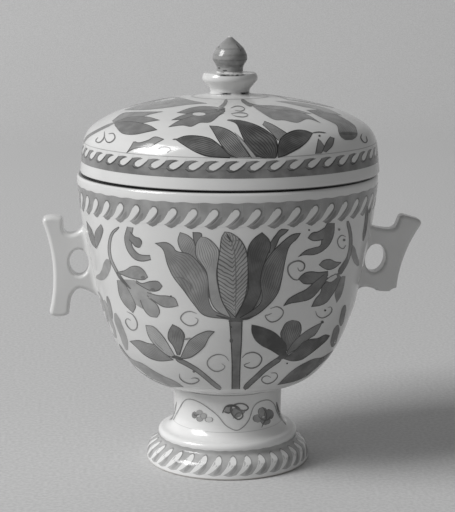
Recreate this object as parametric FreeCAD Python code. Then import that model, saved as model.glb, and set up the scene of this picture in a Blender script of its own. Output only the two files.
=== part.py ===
"""Covered two-handled cup of glazed porcelain, standing on a turned foot.

Two loose pieces, each thrown or pressed and fired as one:
cup    bowl, hollow stem foot and the two bracket handles stuck on with slip
cover  domed lid with a locating flange inside and a bud knob on a collar

Millimetres, +Z up, table at z = 0. The handles lie along X, the one that reaches
further to +X. The origin is in the middle of the handle span, so the bowl's own
axis stands a little to -X of it.
"""
import FreeCAD, Part

import math
import os

V = FreeCAD.Vector
UP = V(0, 0, 1)
TOUCH = 0.001              # a point this close to a surface lies on it
OVERRUN = 1.0              # cutting tools start this far outside the piece

# Foot and stem
FOOT_R = 30.85             # outside of the ring that stands on the table
FOOT_RING_WIDTH = 3.3
FOOT_CHAMFER = 0.6         # both edges of the ring
BAND_BELLY = 0.9           # the band's upright side leans in by this ...
BAND_SIDE = 6.2            # ... up to this height, then rounds over
GROOVE_R = 25.5            # hollow line between the foot's band and its flare
GROOVE_HEIGHT = 9.6
FLARE_START = 0.9          # the stem has widened by this ...
FLARE_MIDDLE = 15.3        # ... at this height
STEM_R = 20.3
STEM_STRAIGHT_FROM = 21.6  # height where the flare has run out into the stem
STEM_WALL = 3.7
BOWL_BASE_R = 20.6         # corner where the stem meets the bowl
BOWL_BASE_HEIGHT = 30.6
HOLLOW_FLARE = 2.6         # the hollow under the foot is this much wider ...
HOLLOW_FLARE_HEIGHT = 12.0 # ... at this height than in the stem, where ...
HOLLOW_STRAIGHT_FROM = 18.6  # ... it runs straight from here up
HOLLOW_ROUND = 4.0         # between the hollow's wall and its roof

# Bowl
BOWL_DEPTH = 76.3          # from the stem corner up to the widest circle
RIM_R = 55.75
RIM_LEAN = 0.108           # slope of the wall at the widest circle
LIP_HEIGHT = 3.1           # from the widest circle up to the rim
LIP_ROUND = 1.4            # outer edge of the rim
LIP_FLAT = 0.8             # width of the flat that the cover sits on
RIM_WALL = 3.1
FLOOR_WALL = 4.2
# Where the bowl's arcs join: share of the rim radius, share of the bowl's depth
BOWL_UPPER = ((0.9738, 0.8309), (0.9625, 0.7785))
# Between the two lies a straight band, which carries the handles.
BOWL_LOWER = (
    (0.8673, 0.4246),
    (0.8475, 0.3722),
    (0.7867, 0.2543),
    (0.7442, 0.1890),
    (0.6237, 0.0710),
    (0.5098, 0.0180),
)

# Handles. Outline points are (out from the wall, up from the loop's middle).
LOOP_BELOW_RIM = 33.4      # from the rim down to the middle of the loops
HANDLE_DEPTH = 7.4         # front to back
HANDLE_EDGE_ROUND = 1.6
HANDLE_CORNER_ROUND = 1.7
HANDLE_ROOT_SINK = 2.0     # how far the root runs into the wall
ROOT_FILLET = 1.8
LOOP_EDGE_ROUND = 1.2      # both rims of the loop

LEFT_HANDLE = {
    "notch": ((2.2, 16.0), (7.5, 10.9)),
    "notch_end": (9.9, 13.3),
    "horn_height": 16.8,
    "top": (14.1, 17.6),
    "outer": ((18.1, 16.6), (14.0, -5.0), (15.9, -19.3)),
    "foot": ((12.1, -20.4), (8.4, -19.4)),
    "arch": ((7.8, -14.6), (5.9, -10.6), (3.3, -9.9), (-3.2, -13.8)),
    "loop_centre": (4.4, 0.05),
    "loop_half": (3.55, 4.95),
    "loop_end_r": 2.9,
    "loop_lean": 0.0,
}
RIGHT_HANDLE = {
    "notch": ((1.4, 13.2), (10.0, 11.1)),
    "notch_end": (12.6, 12.9),
    "horn_height": 16.6,
    "top": (18.0, 15.6),
    "outer": ((22.7, 13.9), (14.4, -3.0), (12.7, -17.0)),
    "foot": ((9.0, -17.6), (5.6, -17.0)),
    "arch": ((5.3, -13.2), (4.2, -11.7), (1.8, -11.0), (-3.2, -14.0)),
    "loop_centre": (4.5, 0.1),
    "loop_half": (3.95, 5.4),
    "loop_end_r": 3.2,
    "loop_lean": 8.0,
}

# The lower horn of the +X handle is lost: shell-like hollows mark where it broke.
BREAK_HEIGHT = -12.5       # nothing is left below this, from the loop's middle
# Each hollow: (out from the wall, forward, radius, top above BREAK_HEIGHT)
BREAK_HOLLOWS = (
    (6.4, -1.2, 8.0, 0.55),
    (10.6, 0.9, 7.0, 0.95),
    (12.3, -2.6, 3.2, 1.3),
)
BREAK_REACH = 30.0         # size of the block that takes away what is lost

# Cover
COVER_RISE = 10.27         # from the seat up to the end of the upright wall
COVER_EDGE_INSET = 0.37    # the cover is this much smaller than the rim at the seat
COVER_TAPER = 1.11         # and narrows by this up to the dome
COVER_CHAMFER = 0.7
COVER_WALL = 3.6
DOME_SPHERE_R = 139.4      # the flat middle of the dome is part of a sphere
DOME_RISE = 18.23          # from the shoulder up to that sphere's top
DOME_INNER_R = 14.0        # the sphere runs from here ...
DOME_OUTER_R = 38.0        # ... out to here
SHOULDER_JOINT_IN = 4.67   # the shoulder's two arcs join this far in ...
SHOULDER_JOINT_UP = 7.63   # ... and up from its end
FLANGE_DEPTH = 5.0         # reach of the locating ring below the seat
FLANGE_WALL = 2.8
FLANGE_CLEARANCE = 1.6     # radial play of the ring in the mouth
FLANGE_CHAMFER = 0.7
COVER_SHIFT = 0.9          # the cover lies off centre within that play, to +X

# Knob
COLLAR_ROOT_R = 7.2
COLLAR_ROOT_RISE = 0.4     # the dome sweeps up by this to meet the collar
COLLAR_STEM = 0.9          # upright foot of the collar
COLLAR_R = 10.2
COLLAR_HEIGHT = 7.5        # collar's root to its top
COLLAR_LIP = 3.4           # height of the collar's rounded rim ...
COLLAR_LIP_ROUND = 0.7     # ... which bulges by this
COLLAR_FLARE = 0.5         # the cone starts this far out from the root ...
COLLAR_FLARE_RISE = 2.1    # ... and this far up
BUD_NECK_R = 4.8
BUD_NECK_HEIGHT = 1.5      # above the collar's top
BUD_R = 6.3
BUD_HEIGHT = 13.6          # collar top to the tip
BUD_WIDEST = 6.0           # collar top to the bud's widest circle
BUD_SHOULDER = (1.4, 3.7)  # in from and up from the widest circle
BUD_UNDER = (0.8, 2.6)     # in from and down from the widest circle
BUD_TIP_R = 0.9
BUD_TIP_HEIGHT = 1.3
BUD_TIP_FALL = 0.3         # slope at which the bud starts under its tip

RIM_HEIGHT = BOWL_BASE_HEIGHT + BOWL_DEPTH + LIP_HEIGHT
LOOP_HEIGHT = RIM_HEIGHT - LOOP_BELOW_RIM
SHOULDER_HEIGHT = RIM_HEIGHT + COVER_RISE
COVER_EDGE_R = RIM_R - COVER_EDGE_INSET
COVER_SHOULDER_R = COVER_EDGE_R - COVER_TAPER


class Pen:
    """Draws an outline in the XZ plane from straight and round stretches.

    Points are (outwards, up) from the pen's origin. A round stretch leaves in the
    direction in which the last stretch arrived, unless turn() sets another one.
    """

    def __init__(self, start, origin=(0.0, 0.0)):
        self.origin = origin
        self.at = start
        self.way = (1.0, 0.0)
        self.edges = []
        self.joints = [(start, self.way)]

    def place(self, point):
        return V(self.origin[0] + point[0], 0, self.origin[1] + point[1])

    def arrive(self, edge, point, way):
        self.edges.append(edge)
        self.at, self.way = point, way
        self.joints.append((point, way))
        return self

    def turn(self, out, up):
        size = math.hypot(out, up)
        self.way = (out / size, up / size)
        self.joints[-1] = (self.at, self.way)
        return self

    def line(self, *point):
        size = math.dist(self.at, point)
        way = ((point[0] - self.at[0]) / size, (point[1] - self.at[1]) / size)
        return self.arrive(Part.makeLine(self.place(self.at), self.place(point)), point, way)

    def rise(self, height):
        """Line along the pen's direction up to a height."""
        reach = (height - self.at[1]) / self.way[1]
        return self.line(self.at[0] + reach * self.way[0], height)

    def arc(self, *point):
        """Arc to a point, leaving along the pen's direction."""
        size = math.dist(self.at, point)
        chord = ((point[0] - self.at[0]) / size, (point[1] - self.at[1]) / size)
        along = chord[0] * self.way[0] + chord[1] * self.way[1]
        side = chord[1] * self.way[0] - chord[0] * self.way[1]
        # The arc bulges away from the side that it turns to.
        bulge = size / 2 * side / (1 + along)
        middle = (
            (self.at[0] + point[0]) / 2 + chord[1] * bulge,
            (self.at[1] + point[1]) / 2 - chord[0] * bulge,
        )
        ends = self.place(self.at), self.place(middle), self.place(point)
        way = (2 * along * chord[0] - self.way[0], 2 * along * chord[1] - self.way[1])
        return self.arrive(Part.Arc(*ends).toShape(), point, way)

    def settle(self, point, out, up):
        """Arc to a point that arrives along the direction (out, up)."""
        size = math.dist(self.at, point)
        chord = ((point[0] - self.at[0]) / size, (point[1] - self.at[1]) / size)
        along = chord[0] * out + chord[1] * up
        return self.turn(2 * along * chord[0] - out, 2 * along * chord[1] - up).arc(*point)

    def bow(self, middle, point):
        """Arc through a middle point, starting with a corner."""
        ends = self.place(self.at), self.place(middle), self.place(point)
        chord = math.dist(middle, point)
        way = ((point[0] - middle[0]) / chord, (point[1] - middle[1]) / chord)
        return self.arrive(Part.Arc(*ends).toShape(), point, way)

    def inside(self, wall_start, wall_end):
        """Pen that has drawn the inner face of a wall, to the right of this outline."""
        last = len(self.joints) - 1
        pen = None
        for k, ((r, z), (out, up)) in enumerate(self.joints):
            wall = wall_start + (wall_end - wall_start) * k / last
            point = (r + up * wall, z - out * wall)
            if pen is None:
                pen = Pen(point, self.origin).turn(out, up)
            elif isinstance(self.edges[k - 1].Curve, Part.Line):
                pen.line(*point)
            else:
                pen.arc(*point)
        return pen


def turned(edges):
    """Solid of revolution from a section that starts and ends on the axis."""
    loose = Part.Wire(Part.__sortEdges__(edges))
    ends = [v.Point for v in loose.OrderedVertexes]
    closing = Part.makeLine(ends[-1], ends[0])
    face = Part.Face(Part.Wire([*loose.OrderedEdges, closing]))
    solid = face.revolve(V(), UP, 360)
    # The seam is turned to the back, clear of the handles.
    solid.rotate(V(), UP, 90)
    return solid


def bowl_side():
    """Outside of the bowl, from its widest circle down to the stem."""
    def station(share_r, share_z):
        return share_r * RIM_R, BOWL_BASE_HEIGHT + share_z * BOWL_DEPTH

    pen = Pen(station(1, 1)).turn(-RIM_LEAN, -1)
    for shares in BOWL_UPPER:
        pen.arc(*station(*shares))
    pen.line(*station(*BOWL_LOWER[0]))
    for shares in BOWL_LOWER[1:]:
        pen.arc(*station(*shares))
    return pen.arc(BOWL_BASE_R, BOWL_BASE_HEIGHT)


def bowl_radius(height):
    """Outside radius of the bowl at a height."""
    level = Part.makeLine(V(0, 0, height), V(2 * RIM_R, 0, height))
    side = Part.Wire(bowl_side().edges)
    return side.distToShape(level)[1][0][0].x


def cup_outside():
    """Cup without handles, filled: foot ring, band, flare, stem, bowl and lip."""
    foot = Pen((0, 0))
    foot.line(FOOT_R - FOOT_CHAMFER, 0).line(FOOT_R, FOOT_CHAMFER).turn(0, 1)
    foot.arc(FOOT_R - BAND_BELLY, BAND_SIDE).arc(GROOVE_R, GROOVE_HEIGHT)
    stem = Pen((BOWL_BASE_R, BOWL_BASE_HEIGHT))
    stem.line(STEM_R, STEM_STRAIGHT_FROM).turn(0, -1)
    stem.arc(STEM_R + FLARE_START, FLARE_MIDDLE).arc(GROOVE_R, GROOVE_HEIGHT)
    lip = Pen((RIM_R, RIM_HEIGHT - LIP_HEIGHT)).line(RIM_R, RIM_HEIGHT - LIP_ROUND)
    lip.arc(RIM_R - LIP_ROUND, RIM_HEIGHT).line(0, RIM_HEIGHT)
    return turned(foot.edges + stem.edges + bowl_side().edges + lip.edges)


def cup_inside():
    """Space inside the bowl, up through the mouth."""
    wall = bowl_side().inside(RIM_WALL, FLOOR_WALL)
    mouth = wall.joints[0][0]
    seat = RIM_R - LIP_ROUND - LIP_FLAT
    above = RIM_HEIGHT + OVERRUN
    top = Pen((0, above)).line(seat, above).line(seat, RIM_HEIGHT).line(*mouth)
    wall.line(0, wall.at[1])
    return turned(top.edges + wall.edges)


def foot_hollow():
    """Recess under the foot, up into the stem."""
    ring = FOOT_R - FOOT_RING_WIDTH
    inner = STEM_R - STEM_WALL
    roof = BOWL_BASE_HEIGHT
    pen = Pen((0, -OVERRUN)).line(ring, -OVERRUN).line(ring, 0)
    pen.line(ring - FOOT_CHAMFER, FOOT_CHAMFER)
    pen.line(inner + HOLLOW_FLARE, HOLLOW_FLARE_HEIGHT).arc(inner, HOLLOW_STRAIGHT_FROM)
    pen.line(inner, roof - HOLLOW_ROUND).arc(inner - HOLLOW_ROUND, roof).line(0, roof)
    return turned(pen.edges)


def handle_outline(shape, wall):
    """Closed outline of a handle in the XZ plane, and its corners to be rounded."""
    notch, arch = shape["notch"], shape["arch"]
    top_out, waist, foot_out = shape["outer"]
    # The wall falls away downwards, so the sink is taken at the lowest point.
    sink = bowl_radius(LOOP_HEIGHT + arch[-1][1]) - wall - HANDLE_ROOT_SINK
    pen = Pen((sink, notch[0][1]), (wall, LOOP_HEIGHT))
    pen.line(*notch[0]).settle(notch[1], 1, 0).arc(*shape["notch_end"])
    pen.rise(shape["horn_height"])
    corners = [pen.at, top_out, foot_out, shape["foot"][1]]
    pen.bow(shape["top"], top_out).bow(waist, foot_out).bow(*shape["foot"]).line(*arch[0])
    for point in arch[1:]:
        pen.arc(*point)
    pen.line(sink, arch[-1][1]).line(sink, notch[0][1])
    return Part.Wire(pen.edges), [pen.place(corner) for corner in corners]


def loop_tool(shape, wall):
    """Prism of the oval loop through a handle, from four tangent arcs."""
    half_width, half_height = shape["loop_half"]
    end_r = shape["loop_end_r"]
    # Side and end arcs touch where their centres are R - r apart.
    drop = half_height - end_r
    side_r = (half_width**2 - end_r**2 + drop**2) / (2 * (half_width - end_r))
    angle = math.atan2(drop, side_r - half_width)
    out, up = end_r * math.cos(angle), drop + end_r * math.sin(angle)
    corners = [(out, -up), (out, up), (-out, up), (-out, -up)]
    middles = [(half_width, 0), (0, half_height), (-half_width, 0), (0, -half_height)]
    edges = []
    for k, middle in enumerate(middles):
        points = corners[k], middle, corners[(k + 1) % 4]
        edges.append(Part.Arc(*(V(x, 0, z) for x, z in points)).toShape())
    prism = Part.Face(Part.Wire(edges)).extrude(V(0, 2 * HANDLE_DEPTH, 0))
    prism.translate(V(0, -HANDLE_DEPTH, 0))
    prism.rotate(V(), V(0, 1, 0), shape["loop_lean"])
    out, up = shape["loop_centre"]
    prism.translate(V(wall + out, 0, LOOP_HEIGHT + up))
    return prism


def handle(shape):
    """Bracket handle on the +X side without its loop, corners and edges rounded."""
    wall = bowl_radius(LOOP_HEIGHT)
    outline, corners = handle_outline(shape, wall)
    slab = Part.Face(outline).extrude(V(0, HANDLE_DEPTH, 0))
    slab.translate(V(0, -HANDLE_DEPTH / 2, 0))
    upright = [
        e for e in slab.Edges if any(p.distanceToPoint(e.CenterOfMass) < TOUCH for p in corners)
    ]
    slab = slab.makeFillet(HANDLE_CORNER_ROUND, upright)
    root = min(v.X for v in slab.Vertexes)
    rims = [
        e for e in slab.Edges
        if abs(abs(e.CenterOfMass.y) - HANDLE_DEPTH / 2) < TOUCH
        and max(v.X for v in e.Vertexes) > root + TOUCH
    ]
    return slab.makeFillet(HANDLE_EDGE_ROUND, rims)


def break_tool():
    """What is gone from the +X handle's lower end, with hollows like those of a chip."""
    wall = bowl_radius(LOOP_HEIGHT)
    floor = LOOP_HEIGHT + BREAK_HEIGHT
    corner = V(wall, -HANDLE_DEPTH, floor - BREAK_REACH)
    block = Part.makeBox(BREAK_REACH, 2 * HANDLE_DEPTH, BREAK_REACH, corner)
    hollows = [
        Part.makeSphere(radius, V(wall + s, y, floor + rise - radius))
        for s, y, radius, rise in BREAK_HOLLOWS
    ]
    return block.fuse(hollows)


def edges_on(body, shell, inner=0.0):
    """Edges of a body that lie on a shell near the handles, beyond inner in Y."""
    found = []
    for edge in body.Edges:
        first, last = edge.ParameterRange
        points = [edge.valueAt(first + (last - first) * k / 4) for k in range(5)]
        near = all(inner <= abs(p.y) < HANDLE_DEPTH for p in points)
        beside = all(abs(p.z - LOOP_HEIGHT) < LOOP_BELOW_RIM - LIP_HEIGHT for p in points)
        if near and beside and all(shell.distToShape(Part.Vertex(p))[0] < TOUCH for p in points):
            found.append(edge)
    return found


def make_cup():
    """The cup in one piece, its axis at x = 0."""
    wall = bowl_radius(LOOP_HEIGHT)
    right = handle(RIGHT_HANDLE).cut(break_tool())
    left = handle(LEFT_HANDLE)
    left.rotate(V(), UP, 180)
    outside = cup_outside()
    body = outside.fuse([right, left])
    body = body.makeFillet(ROOT_FILLET, edges_on(body, outside.Shells[0]))
    right_loop = loop_tool(RIGHT_HANDLE, wall)
    left_loop = loop_tool(LEFT_HANDLE, wall)
    left_loop.rotate(V(), UP, 180)
    body = body.cut([right_loop, left_loop])
    for loop in (right_loop, left_loop):
        rims = edges_on(body, loop.Shells[0], HANDLE_DEPTH / 4)
        body = body.makeFillet(LOOP_EDGE_ROUND, rims)
    return body.cut([cup_inside(), foot_hollow()])


def dome_side():
    """Outside of the dome, from the collar's root out to the shoulder."""
    top = SHOULDER_HEIGHT + DOME_RISE

    def on_sphere(r):
        return r, top - DOME_SPHERE_R + math.sqrt(DOME_SPHERE_R**2 - r**2)

    inner, outer = on_sphere(DOME_INNER_R), on_sphere(DOME_OUTER_R)
    slope = -DOME_INNER_R / inner[1]
    root = (COLLAR_ROOT_R, top + COLLAR_ROOT_RISE)
    fall = (inner[1] - root[1]) / (inner[0] - root[0])
    pen = Pen(root).turn(1, 2 * fall - slope).arc(*inner)
    pen.turn(math.sqrt(DOME_SPHERE_R**2 - DOME_INNER_R**2), -DOME_INNER_R).arc(*outer)
    pen.arc(COVER_SHOULDER_R - SHOULDER_JOINT_IN, SHOULDER_HEIGHT + SHOULDER_JOINT_UP)
    return pen.arc(COVER_SHOULDER_R, SHOULDER_HEIGHT)


def knob():
    """Outside of the knob, from the bud's tip down to the collar's root."""
    root = SHOULDER_HEIGHT + DOME_RISE + COLLAR_ROOT_RISE
    top = root + COLLAR_HEIGHT
    tip = top + BUD_HEIGHT
    widest = top + BUD_WIDEST
    pen = Pen((0, tip)).line(BUD_TIP_R, tip - BUD_TIP_HEIGHT).turn(1, -BUD_TIP_FALL)
    pen.arc(BUD_R - BUD_SHOULDER[0], widest + BUD_SHOULDER[1]).arc(BUD_R, widest)
    pen.arc(BUD_R - BUD_UNDER[0], widest - BUD_UNDER[1])
    pen.arc(BUD_NECK_R, top + BUD_NECK_HEIGHT).line(BUD_NECK_R, top)
    lip_edge = COLLAR_R - COLLAR_LIP_ROUND
    pen.line(lip_edge, top).bow((COLLAR_R, top - COLLAR_LIP / 2), (lip_edge, top - COLLAR_LIP))
    pen.line(COLLAR_ROOT_R + COLLAR_FLARE, root + COLLAR_FLARE_RISE)
    return pen.arc(COLLAR_ROOT_R, root + COLLAR_STEM).line(COLLAR_ROOT_R, root)


def make_cover():
    """The cover in one piece, seated on the rim, its axis at x = 0."""
    dome = dome_side()
    inner_dome = dome.inside(COVER_WALL, COVER_WALL)
    ring_out = RIM_R - RIM_WALL - FLANGE_CLEARANCE
    ring_in = ring_out - FLANGE_WALL
    ring_end = RIM_HEIGHT - FLANGE_DEPTH
    side = Pen(dome.at).line(COVER_EDGE_R, RIM_HEIGHT + COVER_CHAMFER)
    side.line(COVER_EDGE_R - COVER_CHAMFER, RIM_HEIGHT).line(ring_out, RIM_HEIGHT)
    side.line(ring_out, ring_end + FLANGE_CHAMFER)
    side.line(ring_out - FLANGE_CHAMFER, ring_end)
    side.line(ring_in + FLANGE_CHAMFER, ring_end).line(ring_in, ring_end + FLANGE_CHAMFER)
    side.line(ring_in, RIM_HEIGHT).line(*inner_dome.at)
    crown = inner_dome.joints[0][0]
    centre = Pen(crown).line(0, crown[1])
    return turned(knob().edges + dome.edges + side.edges + inner_dome.edges + centre.edges)


def main():
    os.makedirs("parts", exist_ok=True)
    cup = make_cup()
    cover = make_cover()
    cover.translate(V(COVER_SHIFT, 0, 0))
    # The origin goes to the middle of the span of the handles.
    span = cup.optimalBoundingBox(False, False)
    to_middle = V(-(span.XMin + span.XMax) / 2, 0, 0)
    for name, solid in (("cup", cup), ("cover", cover)):
        solid.translate(to_middle)
        solid.exportStep("parts/%s.step" % name)
        box = solid.optimalBoundingBox(False, False)
        print(
            "%-6s solids %d valid %s volume %.0f mm3  x %.2f..%.2f  y %.2f..%.2f  z %.2f..%.2f"
            % (name, len(solid.Solids), solid.isValid(), solid.Volume, box.XMin, box.XMax,
               box.YMin, box.YMax, box.ZMin, box.ZMax)
        )
    print("bowl axis at x = %.3f" % to_middle.x)


main()
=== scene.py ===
"""Covered two-handled porcelain cup with underglaze painting, in a plain studio.

The turned forms are outlines of lines and tangent arcs, carried round the axis.
The painting is thin layers that lie on the glaze: each stroke is a grid in the
picture plane of the camera, sent along the camera's rays onto the form.
"""
import math

import bpy
import bmesh
import numpy as np
from bpy.props import FloatProperty, FloatVectorProperty, IntProperty, PointerProperty
from mathutils import Matrix, Vector


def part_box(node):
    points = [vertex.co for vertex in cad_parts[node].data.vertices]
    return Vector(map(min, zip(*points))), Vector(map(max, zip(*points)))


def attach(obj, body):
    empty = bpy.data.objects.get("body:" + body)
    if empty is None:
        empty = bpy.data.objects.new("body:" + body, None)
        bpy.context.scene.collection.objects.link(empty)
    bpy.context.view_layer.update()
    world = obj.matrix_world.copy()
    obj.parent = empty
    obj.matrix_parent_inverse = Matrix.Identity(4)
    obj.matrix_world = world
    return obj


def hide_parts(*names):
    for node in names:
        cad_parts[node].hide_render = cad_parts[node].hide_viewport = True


bl_info = {
    "name": "Covered porcelain cup",
    "version": (1, 0, 0),
    "blender": (4, 5, 0),
    "location": "View3D > Sidebar > Covered cup",
    "description": "Glaze, painting and studio for a covered cup with two bracket handles",
    "category": "Object",
}

MM = 0.001
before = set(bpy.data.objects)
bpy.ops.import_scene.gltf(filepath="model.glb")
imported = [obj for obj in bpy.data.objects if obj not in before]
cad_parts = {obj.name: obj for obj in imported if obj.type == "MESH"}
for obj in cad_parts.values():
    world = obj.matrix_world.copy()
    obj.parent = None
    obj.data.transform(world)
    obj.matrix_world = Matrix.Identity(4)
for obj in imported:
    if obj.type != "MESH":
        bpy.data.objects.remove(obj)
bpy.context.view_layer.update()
CUP_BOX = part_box("cup")
COVER_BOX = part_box("cover")

# The cover is round, so the middle of its box is its own axis.
COVER_AXIS = (COVER_BOX[0][0] + COVER_BOX[1][0]) / 2
COVER_SHIFT = 0.9 * MM
CUP_AXIS = COVER_AXIS - COVER_SHIFT
SEAT_HEIGHT = CUP_BOX[1][2]

# Camera, fitted to the ellipses of rim, seam and foot
PICTURE_WIDTH = 455
PICTURE_HEIGHT = 512
FOCAL_PIXELS = 1602.0
SENSOR = 36.0
CAMERA_FROM_AXIS = (-46.3 * MM, -588.5 * MM, 189.5 * MM)
TARGET_HEIGHT = 77.8 * MM
CAMERA_AT = Vector((CUP_AXIS, 0, 0)) + Vector(CAMERA_FROM_AXIS)
TARGET = Vector((CUP_AXIS, 0, TARGET_HEIGHT))


def length(name, default_mm, text):
    """Length property whose default is given in millimetres."""
    return FloatProperty(
        name=name, description=text, default=default_mm * MM, unit="LENGTH", precision=5
    )


def colour(name, value, text):
    """Colour property."""
    return FloatVectorProperty(
        name=name, description=text, default=value, size=3, min=0, max=1, subtype="COLOR"
    )


# Turned body: small rounds, and places on the outline. A pair is (distance across,
# height); its first value is taken from or added to the radius beside it.
STEM_WALL = 3.7 * MM
STEM_ROUND = 0.3 * MM
STEM_STRAIGHT_FROM = 18 * MM
STEM_SPREAD = (1.5 * MM, 13.8 * MM)
SWELL_SHOULDER = (1.5 * MM, 2.2 * MM)
BAND_MIDDLE = (0.5 * MM, 4.3 * MM)
BAND_TOP = (2.4 * MM, 6.7 * MM)
FOOT_CHAMFER = 0.6 * MM
HOLLOW_ROUND = 4 * MM
HOLLOW_STRAIGHT_FROM = 18.6 * MM
HOLLOW_FLARE = 2.6 * MM
HOLLOW_FLARE_HEIGHT = 12 * MM
LIP_ROUND = 1.4 * MM
LIP_FLAT_FROM = 2.2 * MM

# Cover: the dome's middle is part of a sphere, and the collar stands on it
DOME_SPHERE = 139.4 * MM
DOME_FROM = 14.0 * MM
DOME_TO = 38.0 * MM
DOME_HAUNCH = (4.67 * MM, 7.63 * MM)
COLLAR_ROOT = 7.2 * MM
COLLAR_STANDS = 0.4 * MM
COLLAR_HEIGHT = 7.5 * MM
COLLAR_LIP = 0.7 * MM
BUD_NECK = 4.8 * MM
BUD_WIDEST = 6.0 * MM
BUD_TIP = 13.6 * MM
COVER_CHAMFER = 0.7 * MM
FLANGE_WALL = 2.8 * MM
FLANGE_GAP = 1.6 * MM


class CupSizes(bpy.types.PropertyGroup):
    """Outline of the cup's turned body."""

    foot_radius: length("Foot radius", 30.85, "Outside of the ring that stands on the table")
    foot_ring: length("Foot ring", 3.3, "Width of the ring")
    groove_radius: length("Groove radius", 26.0, "Hollow line over the foot's band")
    groove_height: length("Groove height", 8.3, "Height of that line")
    swell_radius: length("Swell radius", 26.3, "Where the stem spreads widest, over the groove")
    swell_height: length("Swell height", 10.2, "Height of that circle")
    stem_radius: length("Stem radius", 20.3, "Narrowest part of the stem")
    bowl_base: length("Bowl base", 30.6, "Height where the stem meets the bowl")
    bowl_depth: length("Bowl depth", 76.3, "From the stem up to the widest circle")
    rim_radius: length("Rim radius", 55.75, "Widest circle of the bowl")
    rim_wall: length("Rim wall", 3.1, "Thickness of the wall at the rim")
    floor_wall: length("Floor wall", 4.2, "Thickness of the bowl's floor")
    segments: IntProperty(name="Segments", description="Columns round the axis", default=192)


class CoverSizes(bpy.types.PropertyGroup):
    """Outline of the cover and its knob."""

    edge_radius: length("Edge radius", 55.38, "Outside of the cover at its seat")
    shoulder_radius: length("Shoulder radius", 54.27, "Outside where the dome begins")
    wall_rise: length("Wall rise", 10.27, "From the seat up to the dome")
    wall: length("Wall", 3.6, "Thickness of the dome")
    dome_rise: length("Dome rise", 18.23, "From the shoulder to the dome's top")
    collar_radius: length("Collar radius", 10.2, "Widest circle of the knob's collar")
    bud_radius: length("Bud radius", 6.3, "Widest circle of the bud")
    segments: IntProperty(name="Segments", description="Columns round the axis", default=192)


class GlazeLook(bpy.types.PropertyGroup):
    """Colours and gloss of glaze and painting."""

    white: colour("White", (0.67, 0.67, 0.665), "Porcelain under clear glaze")
    # Painted light: the white on the foot is lighter, as if the foot were lit more brightly than the
    # bowl
    painted_light_foot_white: colour("Foot", (0.77, 0.77, 0.765), "Glaze that lies thicker on the foot")
    ink: FloatProperty(
        name="Ink", description="Share of the light that a full load of pigment lets back",
        default=0.09, min=0.001, max=1,
    )
    bare: colour("Bare paste", (0.62, 0.60, 0.57), "Unglazed foot ring")
    # Near-black painted shade in the seam and in the crevices under the bud and at the collar's root,
    # and the colour of the wear on the collar's rim
    shade_and_wear: colour("Shade and wear", (0.02, 0.02, 0.02), "In the seam and in crevices")
    roughness: FloatProperty(
        name="Roughness", description="Of the glaze", default=0.15, min=0, max=1
    )


class Studio(bpy.types.PropertyGroup):
    """Floor, lamps and surroundings."""

    floor: colour("Floor", (0.615, 0.615, 0.615), "Seamless paper")
    key_power: FloatProperty(name="Key", description="Watts of the soft key lamp", default=98.0)
    back_power: FloatProperty(name="Back", description="Watts on the backdrop", default=1.4)
    world: FloatProperty(name="World", description="Strength of the surroundings", default=0.205)


class Outline:
    """Half section drawn as straight and round stretches, in metres.

    An arc that leaves P along the unit vector w, and whose chord of length L makes
    the angle a with w, is P + L / (2 sin a) * (sin(t) w + (1 - cos(t)) n) for t from
    0 to 2a, with n the left normal of w. It arrives turned by 2a.
    """

    STEP = 0.3 * MM

    def __init__(self, start):
        self.points = [np.array([start], float)]
        self.joints = [(np.array(start, float), np.array([1.0, 0.0]))]
        self.straight = []

    def turn(self, out, up):
        """Sets the direction in which the next arc leaves."""
        at = self.joints[-1][0]
        self.joints[-1] = (at, np.array([out, up]) / math.hypot(out, up))
        return self

    def line(self, *stop):
        at = self.joints[-1][0]
        stop = np.array(stop, float)
        size = np.linalg.norm(stop - at)
        count = max(2, int(size / self.STEP))
        share = np.linspace(0, 1, count)[1:, None]
        self.points.append(at + share * (stop - at))
        self.joints.append((stop, (stop - at) / size))
        self.straight.append(True)
        return self

    def arc(self, *stop):
        at, way = self.joints[-1]
        stop = np.array(stop, float)
        chord = stop - at
        size = np.linalg.norm(chord)
        side = np.array([-way[1], way[0]])
        angle = math.atan2(chord @ side, chord @ way)
        if abs(angle) < 1e-6:
            return self.line(*stop)
        turn = np.linspace(0, 2 * angle, max(4, int(size / self.STEP)))[1:, None]
        radius = size / (2 * math.sin(angle))
        self.points.append(at + radius * (np.sin(turn) * way + (1 - np.cos(turn)) * side))
        arrive = math.cos(2 * angle) * way + math.sin(2 * angle) * side
        self.joints.append((stop, arrive))
        self.straight.append(False)
        return self

    def inside(self, wall_start, wall_end):
        """The inner face of a wall, to the right of this outline."""
        last = len(self.joints) - 1
        (at, way), rest = self.joints[0], self.joints[1:]
        inner = Outline(at + wall_start * np.array([way[1], -way[0]])).turn(*way)
        for k, (joint, direction) in enumerate(rest):
            wall = wall_start + (wall_end - wall_start) * (k + 1) / last
            stop = joint + wall * np.array([direction[1], -direction[0]])
            (inner.line if self.straight[k] else inner.arc)(*stop)
        return inner

    def array(self):
        return np.concatenate(self.points)


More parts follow.
